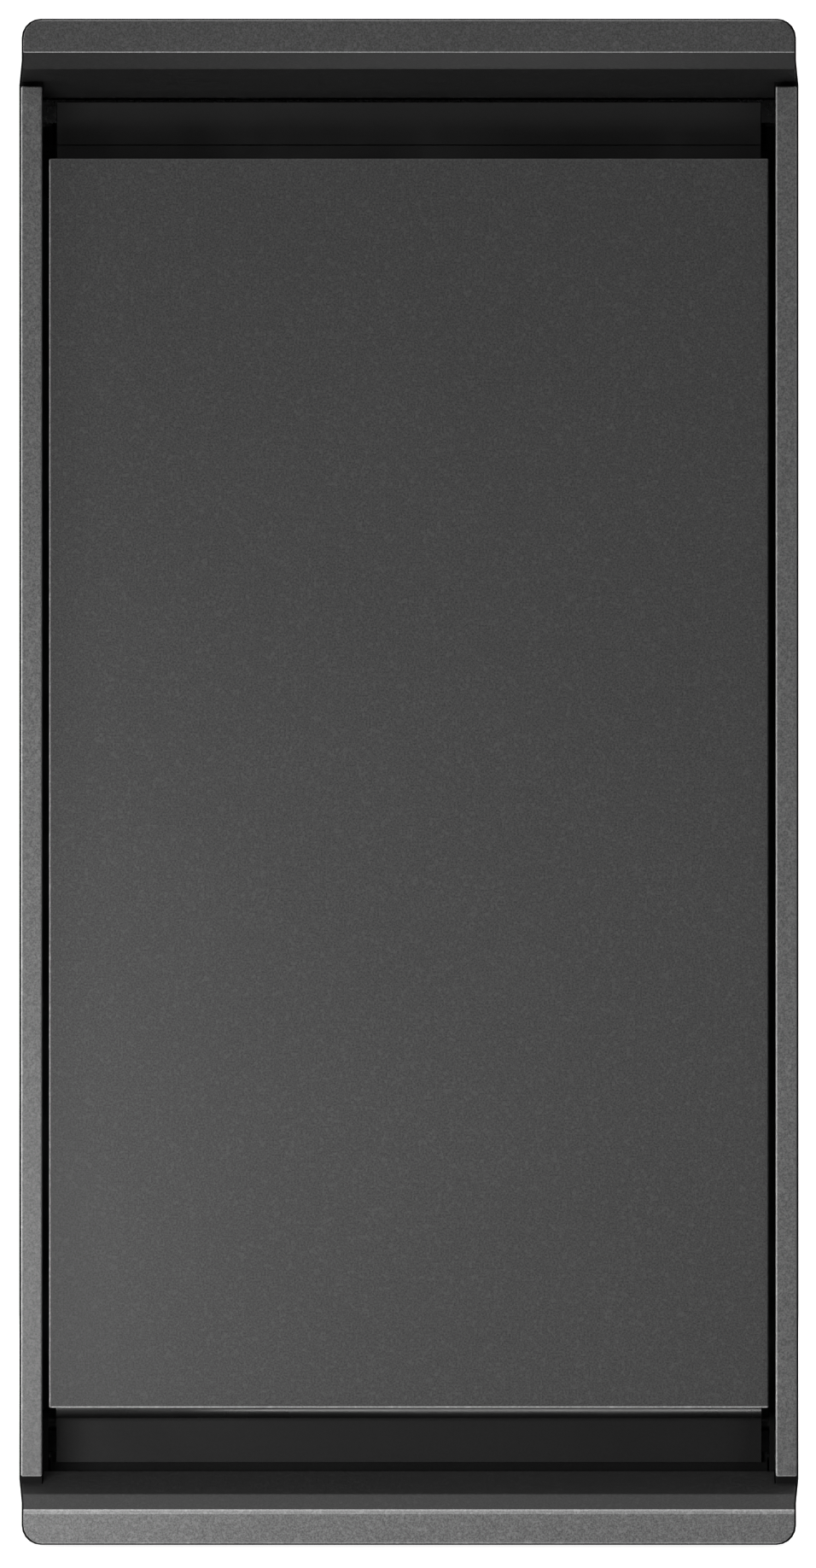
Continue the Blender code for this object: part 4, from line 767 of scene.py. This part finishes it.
platen = eased("ram_platen", 0.0008)
rib_floor = platen_low.z + PLATEN_SHEET
for x in (-0.1, 0.1):
    for first, last in ((platen_low.y + 0.004, tube_low.y - 0.002),
                        (tube_high.y + 0.002, platen_high.y - 0.004)):
        add_block(platen, (x - 0.002, first, rib_floor - 0.0005), (x + 0.002, last, rib_floor + 0.009), 0.0006)
for way in (-1, 1):
    for y in (ram_y - 0.07, ram_y, ram_y + 0.07):
        first, last = sorted((way * (tube_high.x + 0.002), way * (platen_high.x - 0.004)))
        add_block(platen, (first, y - 0.002, rib_floor - 0.0005), (last, y + 0.002, rib_floor + 0.009), 0.0006)
as_piece(platen, "ram_platen_ribbed", ram_hammered, ("ram_platen",))

body_tube = eased("ram_body", 0.0006)
BEAD_RISE = 0.0016
for way in (-1, 1):
    for x in (-0.06, 0.06):
        edge = tube_low.y if way < 0 else tube_high.y
        add_block(body_tube, (x - 0.004, edge - 0.0005 * way, tube_low.z + 0.03),
                  (x + 0.004, edge + BEAD_RISE * way, tube_high.z - 0.03), 0.0012)
    for y in (ram_y - 0.06, ram_y + 0.06):
        edge = tube_low.x if way < 0 else tube_high.x
        add_block(body_tube, (edge - 0.0005 * way, y - 0.004, tube_low.z + 0.03),
                  (edge + BEAD_RISE * way, y + 0.004, tube_high.z - 0.03), 0.0012)
for x in (-0.1, 0.1):
    for y, way in ((tube_low.y, -1), (tube_high.y, 1)):
        add_bolt(body_tube, (x, y, tube_low.z + 0.008), (0, way, 0), 0.002)
as_piece(body_tube, "ram_body_beaded", ram_hammered, ("ram_body",))

beam = eased("crosshead", 0.0006)
for x in (-0.085, 0.085):
    for y in (head_low.y + 0.014, head_high.y - 0.014):
        add_bolt(beam, (x, y, head_high.z), (0, 0, 1), 0.0016)
for x in (-0.165, -0.125, 0.125, 0.165):
    for y, way in ((head_low.y, -1), (head_high.y, 1)):
        add_block(beam, (x - 0.0015, y - 0.0003 * way, head_low.z + 0.002),
                  (x + 0.0015, y + 0.004 * way, head_high.z - 0.004), 0.0005)
as_piece(beam, "crosshead_finish", ram_hammered, ("crosshead",))
print("ram", platen_high.z - platen_low.z, "to", head_high.z)

# %% [markdown]
# The drive sits low at the back: a finned motor on a cast gearcase, which turns a sprocket under the cover. The
# fins are thin blocks set round the motor's waist, between its two end bells. A fan cowl with raised slats closes
# its top, four long bolts tie the bells together, and a terminal box takes the wires.

# %% Motor and gearcase
motor_low, motor_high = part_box("drive_motor")
motor_at, motor_radius = centre("drive_motor"), (motor_high.x - motor_low.x) / 2
FINS, SLATS, TIE_BOLTS = 40, 18, 4
FIN_HALF = 0.0009


def set_round(shape, count, low, high, height):
    """Sets a thin block, drawn on the right of the motor's axis, that many times round it."""
    for step in range(count):
        fin = add_block(bmesh.new(), low, high, 0.0004, 1)
        turn = Matrix.Rotation(2 * math.pi * step / count, 3, "Z")
        bmesh.ops.rotate(fin, verts=fin.verts, cent=(0, 0, 0), matrix=turn)
        bmesh.ops.translate(fin, verts=fin.verts, vec=(motor_at.x, motor_at.y, height))
        pour(shape, fin)


motor = eased("drive_motor", 0.0008)
set_round(motor, FINS, (motor_radius * 0.92, -FIN_HALF, motor_low.z + 0.025),
          (motor_radius * 0.99, FIN_HALF, motor_high.z - 0.029), 0)
for step in range(TIE_BOLTS):
    angle = math.pi / 4 + 2 * math.pi * step / TIE_BOLTS
    reach = motor_radius * 0.9
    x, y = motor_at.x + reach * math.cos(angle), motor_at.y + reach * math.sin(angle)
    add_bolt(motor, (x, y, motor_high.z - 0.021), (0, 0, 1), 0.0016)
set_round(motor, SLATS, (0.012, -FIN_HALF, -0.0002), (motor_radius * 0.4, FIN_HALF, 0.0013),
          motor_high.z - 0.001)
box_foot = motor_low.z + 0.045
add_block(motor, (motor_low.x - 0.012, motor_at.y - 0.02, box_foot),
          (motor_low.x + 0.008, motor_at.y + 0.02, box_foot + 0.05), 0.002, 3)
add_turned(motor, [(0, 0), (0.0055, 0), (0.0055, 0.006), (0.004, 0.008), (0, 0.008)],
           (motor_low.x - 0.003, motor_at.y, box_foot + 0.049), (0, 0, 1), 20)
as_piece(motor, "drive_motor_finned", motor_enamel, ("drive_motor",))

case_low, case_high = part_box("gearcase")
case = eased("gearcase", 0.004, 3)
rib_foot, rib_top = case_low.z + 0.006, case_high.z - 0.008
for step in range(7):
    x = case_low.x + 0.013 + step * (case_high.x - case_low.x - 0.026) / 6
    for y, way in ((case_low.y, -1), (case_high.y, 1)):
        add_block(case, (x - 0.0012, y - 0.001 * way, rib_foot), (x + 0.0012, y + 0.003 * way, rib_top), 0.0005)
for spot in along((0, case_low.y + 0.02, 0), (0, case_high.y - 0.02, 0), 5):
    for x, way in ((case_low.x, -1), (case_high.x, 1)):
        add_block(case, (x - 0.001 * way, spot.y - 0.0012, rib_foot),
                  (x + 0.003 * way, spot.y + 0.0012, rib_top), 0.0005)
for x in (case_low.x + 0.009, case_high.x - 0.009):
    for y in (case_low.y + 0.009, case_high.y - 0.009):
        add_bolt(case, (x, y, case_high.z), (0, 0, 1), 0.0026)
as_piece(case, "gearcase_ribbed", cast_alloy, ("gearcase",))
print("motor fins", FINS)

# %% [markdown]
# A roller chain ties the three sprockets together in the base. It could be one band, but its pins and plates are
# what make it a chain, so it is built link by link: each link is two plates, one each side, that overlap the next
# link's, and a pin joins them. The links follow the path round the three sprockets at one even pitch.

# %% Chain and sprockets
PITCH = 0.009525
chain_low, chain_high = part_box("drive_chain")
wheels = [centre("screw_sprocket_left"), centre("drive_sprocket"), centre("screw_sprocket_right")]
chain_radius = chain_high.x - abs(wheels[2].x) - 0.0014


def belt_path(hubs, radius, pitch):
    """Points at an even pitch round the outside of three wheels, given in clockwise order."""
    corners, count = [], len(hubs)
    for index, hub in enumerate(hubs):
        before, after = hubs[index - 1], hubs[(index + 1) % count]
        turns = []
        for first, second in ((before, hub), (hub, after)):
            way = (second - first).xy.normalized()
            turns.append(math.atan2(way.x, -way.y))
        start, end = turns
        while end > start:
            end -= 2 * math.pi
        for step in range(25):
            angle = start + (end - start) * step / 24
            corners.append(Vector((hub.x + radius * math.cos(angle), hub.y + radius * math.sin(angle))))
    corners.append(corners[0])
    lengths = [(b - a).length for a, b in zip(corners, corners[1:])]
    links = round(sum(lengths) / pitch / 2) * 2
    step, spots, walked, leg = sum(lengths) / links, [], 0.0, 0
    for link in range(links):
        while leg < len(lengths) - 1 and walked + lengths[leg] < link * step:
            walked, leg = walked + lengths[leg], leg + 1
        share = (link * step - walked) / max(lengths[leg], 1e-9)
        spots.append(corners[leg].lerp(corners[leg + 1], share))
    return spots


pins = belt_path([Vector(w) for w in wheels], chain_radius, PITCH)
chain, chain_middle = bmesh.new(), (chain_low.z + chain_high.z) / 2
LINK_HALF, PLATE = 0.0013, 0.0006
for index, (here, after) in enumerate(zip(pins, pins[1:] + pins[:1])):
    way = (after - here).normalized()
    side = Vector((-way.y, way.x)) * LINK_HALF
    reach = 0.0029 if index % 2 else 0.0021
    for level in (-reach, reach - PLATE):
        outline = []
        for spot, facing in ((here, -1), (after, 1)):
            for angle in (-90, -45, 0, 45, 90):
                turn = math.radians(angle)
                outline.append(spot + facing * (way * math.cos(turn) * LINK_HALF + side * math.sin(turn)))
        foot = chain_middle + level
        lower = [chain.verts.new((p.x, p.y, foot)) for p in outline]
        upper = [chain.verts.new((p.x, p.y, foot + PLATE)) for p in outline]
        chain.faces.new(lower)
        chain.faces.new(upper[::-1])
        for a in range(len(outline)):
            b = (a + 1) % len(outline)
            chain.faces.new((lower[a], upper[a], upper[b], lower[b]))
    for radius, half, steps in ((0.0006, 0.003, 8), (0.0011, 0.0014, 10)):
        barrel = [(0, -half), (radius, -half), (radius, half), (0, half)]
        add_turned(chain, barrel, (here.x, here.y, chain_middle), steps=steps)
bmesh.ops.recalc_face_normals(chain, faces=chain.faces)
as_piece(chain, "drive_chain_links", chain_steel, ("drive_chain",), smooth=30)
for node in ("screw_sprocket_left", "screw_sprocket_right", "drive_sprocket"):
    finer(node, chain_steel, 0.0003)
finer("drive_cover", zinc_sheet, 0.0003)
print("chain links", len(pins))

# %% [markdown]
# The head beam ties the sides together over the ram, and holds the tops of the screws. It is a plated channel with
# a bolt at each corner and over each bearing, and a row of lightening holes pressed as shallow cups. The limit
# switch hangs behind it: a small black body with two screws, three tabs for the wires, and a sprung lever.

# %% Head beam and limit switch
beam_low, beam_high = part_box("head_beam")
screw_x = wheels[2].x
beam = eased("head_beam", 0.0006)
for way in (-1, 1):
    for y in (beam_low.y + 0.011, beam_high.y - 0.011):
        for x in (way * (beam_high.x - 0.011), way * (screw_x - 0.02)):
            add_bolt(beam, (x, y, beam_high.z), (0, 0, 1), 0.0024)
CUP = [(0, 0.0002), (0.007, 0.0002), (0.0085, 0.0016), (0.0105, 0.0016), (0.0125, 0.0), (0.0, 0.0)]
for spot in along((-0.12, ram_y, 0), (0.12, ram_y, 0), 6):
    add_turned(beam, CUP, (spot.x, ram_y, beam_high.z - 0.0001), (0, 0, 1), 28)
as_piece(beam, "head_beam_bolted", zinc_plate, ("head_beam",))

switch_low, switch_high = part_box("limit_switch")
switch_at = centre("limit_switch")
switch = eased("limit_switch", 0.0006)
for x in (switch_at.x - 0.01, switch_at.x + 0.01):
    collar = [(0, -0.0005), (0.0026, -0.0005), (0.0026, 0.0006), (0.0021, 0.0009), (0, 0.0009)]
    add_turned(switch, collar, (x, switch_high.y, switch_low.z + 0.005), (0, 1, 0), 20)
as_piece(switch, "limit_switch_body", control_plastic, ("limit_switch",))
tabs = bmesh.new()
for x in (switch_at.x - 0.008, switch_at.x, switch_at.x + 0.008):
    add_block(tabs, (x - 0.0024, switch_at.y - 0.0004, switch_high.z - 0.001),
              (x + 0.0024, switch_at.y + 0.0004, switch_high.z + 0.006), 0.0003)
as_piece(tabs, "limit_switch_tabs", zinc_plate, body="cabinet")

lever, lever_high = eased("limit_lever", 0.0003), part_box("limit_lever")[1]
LEVER_PIN = [(0, -0.005), (0.0008, -0.005), (0.0008, 0.005), (0, 0.005)]
lever_pin_at = (centre("limit_lever").x, lever_high.y - 0.0015, lever_high.z - 0.0002)
add_turned(lever, LEVER_PIN, lever_pin_at, (1, 0, 0), 12)
as_piece(lever, "limit_lever_finish", zinc_plate, ("limit_lever",))

# %% [markdown]
# The wiring runs in a ribbed sleeve from the gland up the back to the switch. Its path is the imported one: a
# smooth curve through nine places. The sleeve's ribs are real rings, made by letting the tube's radius swell and
# shrink along the path, and a plastic tie holds it at a few spots.

# %% Wiring
SLEEVE, RIB, RIB_PITCH = 0.0029, 0.0004, 0.0028
cover_top = centre("filter_cover").z
gland_x, gland_z = centre("cord_gland").x, centre("cord_gland").z
wall, head_z = back_low.y - 0.0065, beam_low.z
switch_y = beam_high.y + 0.018
PLACES = [(gland_x, wall - 0.0075, gland_z), (gland_x, wall - 0.0235, gland_z + 0.012),
          (gland_x + 0.002, wall - 0.0175, gland_z + 0.1), (gland_x - 0.012, wall - 0.0135, gland_z + 0.3),
          (gland_x - 0.01, wall - 0.0135, cover_top), (gland_x, wall - 0.0215, head_z - 0.05),
          (gland_x + 0.03, wall - 0.1015, head_z + 0.004), (-0.09, switch_y + 0.04, head_z + 0.006),
          (-0.09, switch_y, head_z + 0.004)]


def smooth_route(places, gap):
    """Points at an even gap along the curve that passes through the places."""
    spots = [Vector(place) for place in places]
    spots = [2 * spots[0] - spots[1], *spots, 2 * spots[-1] - spots[-2]]
    fine = []
    for a, b, c, d in zip(spots, spots[1:], spots[2:], spots[3:]):
        for step in range(40):
            t = step / 40
            fine.append(0.5 * (2 * b + (c - a) * t + (2 * a - 5 * b + 4 * c - d) * t**2
                               + (3 * b - a - 3 * c + d) * t**3))
    fine.append(spots[-2])
    route, left = [fine[0]], gap
    for here, after in zip(fine, fine[1:]):
        length = (after - here).length
        while length >= left > 0:
            here = here.lerp(after, left / length)
            route.append(here.copy())
            length, left = (after - here).length, gap
        left -= length
    return route


route = smooth_route(PLACES, RIB_PITCH / 4)
ribs = [SLEEVE - RIB * (index % 4 == 0) for index in range(len(route))]
sleeve = add_tube(bmesh.new(), route, ribs, 10)
as_piece(sleeve, "wire_sleeve", rubber, ("wire_harness",), smooth=60)
ties, KNOT_HALF = bmesh.new(), Vector((0.0018, 0.00125, 0.0016))
for share in (0.12, 0.3, 0.5, 0.68, 0.86):
    index = int(share * (len(route) - 2))
    heading = (route[index + 1] - route[index]).normalized()
    band = [(0.0027, -0.0012), (0.0036, -0.0012), (0.0036, 0.0012), (0.0027, 0.0012), (0.0027, -0.0012)]
    add_turned(ties, band, route[index], heading, 20)
    knot = route[index] + Vector((0, -0.00425, 0))
    add_block(ties, knot - KNOT_HALF, knot + KNOT_HALF, 0.0004)
as_piece(ties, "wire_ties", nylon, body="cabinet")
print("sleeve points", len(route))

# %% [markdown]
# The gland that will take the cord is a black bush with a ribbed nut outside. The feet are turned: a rubber pad
# with a groove round it under a plated nut, whose flats let a spanner level the machine.

# %% Gland and feet
GRIPS, GRIP_RING = 20, 0.0118
GRIP = [(0, 0), (0.0009, 0), (0.0009, 0.0055), (0, 0.0055)]
gland = eased("cord_gland", 0.0004)
for step in range(GRIPS):
    angle = 2 * math.pi * step / GRIPS
    x, z = gland_x + GRIP_RING * math.cos(angle), gland_z + GRIP_RING * math.sin(angle)
    add_turned(gland, GRIP, (x, back_high.y + 0.0006, z), (0, 1, 0), 8)
as_piece(gland, "cord_gland_ribbed", control_plastic, ("cord_gland",))

for corner in ("front_left", "front_right", "rear_left", "rear_right"):
    node = "foot_" + corner
    low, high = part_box(node)
    at, radius = centre(node), (high.x - low.x) / 2
    pad_top = low.z + 0.009
    pad = [(0, low.z), (radius - 0.0012, low.z), (radius, low.z + 0.0012), (radius, low.z + 0.0028),
           (radius - 0.0009, low.z + 0.0034), (radius - 0.0009, low.z + 0.0042), (radius, low.z + 0.0048),
           (radius, pad_top - 0.002), (radius - 0.002, pad_top), (0, pad_top)]
    foot = add_turned(bmesh.new(), pad, (at.x, at.y, 0), steps=48)
    as_piece(foot, node + "_pad", rubber, (node,))
    nut = bmesh.new()
    hexagon = [(0, pad_top - 0.0003), (0.011, pad_top - 0.0003), (0.0118, pad_top + 0.0005),
               (0.0118, high.z - 0.0006), (0.0108, high.z), (0, high.z)]
    add_turned(nut, hexagon, (at.x, at.y, 0), steps=6)
    as_piece(nut, node + "_nut", zinc_plate, body="cabinet")
print("feet", radius, "m across the half")

# %% [markdown]
# The bin lifts out of the drawer. It is a moulded tub in pale grey plastic, with a rolled rim, shallow ribs up its
# sides, a hand hold at each end, and four buttons near the rim that keep a bag in place. Its floor and the
# drawer's plated floor plate meet flat.

# %% Bin and drawer floor
bin_low, bin_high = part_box("trash_bin")
bin_at, RIM, CORNER = centre("trash_bin"), 0.0035, 0.02
tub = eased("trash_bin", 0.0007)


def rounded_loop(half_x, half_y, corner, steps=8):
    loop = []
    for sx, sy, start in ((1, 1, 0), (-1, 1, 90), (-1, -1, 180), (1, -1, 270)):
        for step in range(steps + 1):
            angle = math.radians(start + 90 * step / steps)
            loop.append(Vector((sx * (half_x - corner) + corner * math.cos(angle),
                                sy * (half_y - corner) + corner * math.sin(angle), 0)))
    return loop


half_x, half_y = (bin_high.x - bin_low.x) / 2, (bin_high.y - bin_low.y) / 2
outer = rounded_loop(half_x + RIM - 0.0006, half_y + RIM - 0.0006, CORNER + RIM)
SECTION = [(-0.0032, -0.0003), (-0.0035, -0.009), (-0.0024, -0.0095), (-0.0006, -0.009), (0.0, -0.0078),
           (0.0, -0.0018), (-0.0008, -0.0004), (-0.0020, 0.0)]
rim_rings = []
for point in outer:
    away = Vector((point.x - max(-half_x + CORNER, min(half_x - CORNER, point.x)),
                   point.y - max(-half_y + CORNER, min(half_y - CORNER, point.y)), 0)).normalized()
    here = Vector((bin_at.x + point.x, bin_at.y + point.y, bin_high.z))
    rim_rings.append([tub.verts.new(here + away * out + Vector((0, 0, up))) for out, up in SECTION])
for first, second in zip(rim_rings, rim_rings[1:] + rim_rings[:1]):
    for step in range(len(SECTION)):
        after = (step + 1) % len(SECTION)
        tub.faces.new((first[step], second[step], second[after], first[after]))
rib_foot, rib_top = bin_low.z + 0.03, bin_high.z - 0.03
for spot in along((-0.12, 0, 0), (0.12, 0, 0), 5):
    for y, way in ((bin_low.y, -1), (bin_high.y, 1)):
        if abs(spot.x) > 0.07:
            add_block(tub, (spot.x - 0.004, y - 0.0008 * way, rib_foot),
                      (spot.x + 0.004, y + 0.0016 * way, rib_top), 0.0008)
for spot in along((0, bin_low.y + 0.06, 0), (0, bin_high.y - 0.06, 0), 6):
    for x, way in ((bin_low.x, -1), (bin_high.x, 1)):
        if abs(spot.y - ram_y) > 0.05:
            add_block(tub, (x - 0.0008 * way, spot.y - 0.004, rib_foot),
                      (x + 0.0012 * way, spot.y + 0.004, rib_top), 0.0006)
for y, way in ((bin_low.y, -1), (bin_high.y, 1)):
    add_block(tub, (-0.05, y - 0.001 * way, bin_high.z - 0.05),
              (0.05, y + 0.003 * way, bin_high.z - 0.044), 0.0012)
    add_block(tub, (-0.05, y - 0.001 * way, bin_high.z - 0.08),
              (0.05, y + 0.0016 * way, bin_high.z - 0.052), 0.0008)
BAG_BUTTON = [(0, -0.001), (0.004, -0.001), (0.004, 0.0015), (0.006, 0.0022), (0.006, 0.0032), (0.0045, 0.004),
              (0, 0.004)]
for x in (-0.13, 0.13):
    for y, way in ((bin_low.y, -1), (bin_high.y, 1)):
        add_turned(tub, BAG_BUTTON, (x, y, bin_high.z - 0.022), (0, way, 0), 20)
bmesh.ops.recalc_face_normals(tub, faces=tub.faces)
as_piece(tub, "trash_bin_moulded", bin_plastic, ("trash_bin",))
finer("drawer_floor", zinc_sheet, 0.0004)
print("bin", half_x * 2, "x", half_y * 2)

# %% [markdown]
# The slides carry the drawer on four nylon wheels. The tracks and runners are plated channels. A row of pan heads
# shows where the tracks are fixed, and each wheel has three small bosses on both faces, as a moulded wheel does.

# %% Slides and wheels
BOSS_RING, BOSS_OUT = 0.0052, 0.00565
BOSS = [(0, 0), (0.0013, 0), (0.0013, 0.0004), (0.0009, 0.0006), (0, 0.0006)]
for side, way in (("left", -1), ("right", 1)):
    for kind in ("track", "runner"):
        finer(f"drawer_{kind}_{side}", zinc_plate, 0.0004)
    track_low, track_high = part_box("drawer_track_" + side)
    x, height = way * 0.168, track_low.z + 0.002
    spots = along((x, track_low.y + 0.03, height), (x, track_high.y - 0.03, height), 5)
    pan_heads(f"track_screws_{side}", spots, (0, 0, 1), "cabinet", 0.0034, 0.0018)
    for place in ("front", "rear"):
        node = f"{place}_roller_{side}"
        at, wheel = centre(node), eased(node, 0.0003)
        for step in range(3):
            angle = 2 * math.pi * step / 3
            y, z = at.y + BOSS_RING * math.cos(angle), at.z + BOSS_RING * math.sin(angle)
            for facing in (-1, 1):
                add_turned(wheel, BOSS, (at.x + BOSS_OUT * facing, y, z), (facing, 0, 0), 12)
        as_piece(wheel, node + "_wheel", nylon, (node,))

# %% [markdown]
# The controls sit in the finger pocket at the right, out of sight from the front: a green start button, a red
# stop button and a key lock. Each button has a small raised sign, a triangle and a square, so that no lettering
# is needed, and a ring round its well. The key lock is turned steel with a slot.

# %% Controls
finer("control_strip", control_plastic, 0.0004)
strip_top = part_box("control_strip")[1].z
RING = [(0.0, 0.0), (0.0004, 0.0009), (0.0012, 0.0009), (0.0016, 0.0), (0.0, 0.0)]
SIGN = [(0, 0), (0.0026, 0), (0.0026, 0.0003), (0.0023, 0.0005), (0, 0.0005)]
BUTTONS = {"start_button": (start_cap, "start_green", 3), "stop_button": (stop_cap, "stop_red", 4)}
for node, (finish, coat, corners) in BUTTONS.items():
    button, at = eased(node, 0.0004), centre(node)
    add_turned(button, SIGN, (at.x, at.y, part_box(node)[1].z - 0.0001), (0, 0, 1), corners)
    as_piece(button, node + "_cap", finish, (node,))
rings = bmesh.new()
for node in (*BUTTONS, "key_lock"):
    low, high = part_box(node)
    at, inner = centre(node), (high.x - low.x) / 2 + 0.0004
    ring = [(inner + out, strip_top + up - 0.0001) for out, up in RING]
    add_turned(rings, ring, (at.x, at.y, 0), steps=40)
as_piece(rings, "control_rings", zinc_plate, body="drawer")
finer("key_lock", turned_steel, 0.0003)

# %% [markdown]
# The toe pedal rocks on a shaft between two brackets, against a coiled spring. These stand in the dark behind the
# toe plate. The brackets are near black and the shaft is black oxide, as painted shade, so that the gaps at the
# plate's ends read dark. A near-black flap under the plate is painted shade too: it closes the view between the
# plate and the sill. The spring is one wire, and its coil is already true in the model, so it keeps its shape and
# only takes a drawn-wire finish.

# %% Pedal fittings
# The brackets in near black and the shaft in black oxide, as painted shade for the gaps at the toe plate's ends.
for node in ("pedal_bracket_left", "pedal_bracket_right"):
    finer(node, painted_shade_black, 0.0004)
finer("pedal_shaft", black_oxide_painted_shade, 0.0004)
pedal_low, pedal_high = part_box("toe_pedal")
# The flap is a near-black sheet as painted shade: it closes the view between the toe plate and the sill.
FLAP_THICK, FLAP_DROP, FLAP_RISE, FLAP_OUT = 0.0012, 0.009, 0.006, 0.0035
flap_y = pedal_low.y + 0.0031
flap = bmesh.new()
add_block(flap, (pedal_low.x - FLAP_OUT, flap_y, pedal_low.z - FLAP_DROP),
          (pedal_high.x + FLAP_OUT, flap_y + FLAP_THICK, pedal_low.z + FLAP_RISE), 0.0003)
as_piece(flap, "toe_painted_shade_flap", painted_shade_black, body="toe_pedal")
spring = frame["nodes"]["pedal_spring"]
spring.data.materials.clear()
spring.data.materials.append(turned_steel)
print("flap", round(pedal_low.z - FLAP_DROP, 4), "to", round(pedal_low.z + FLAP_RISE, 4))
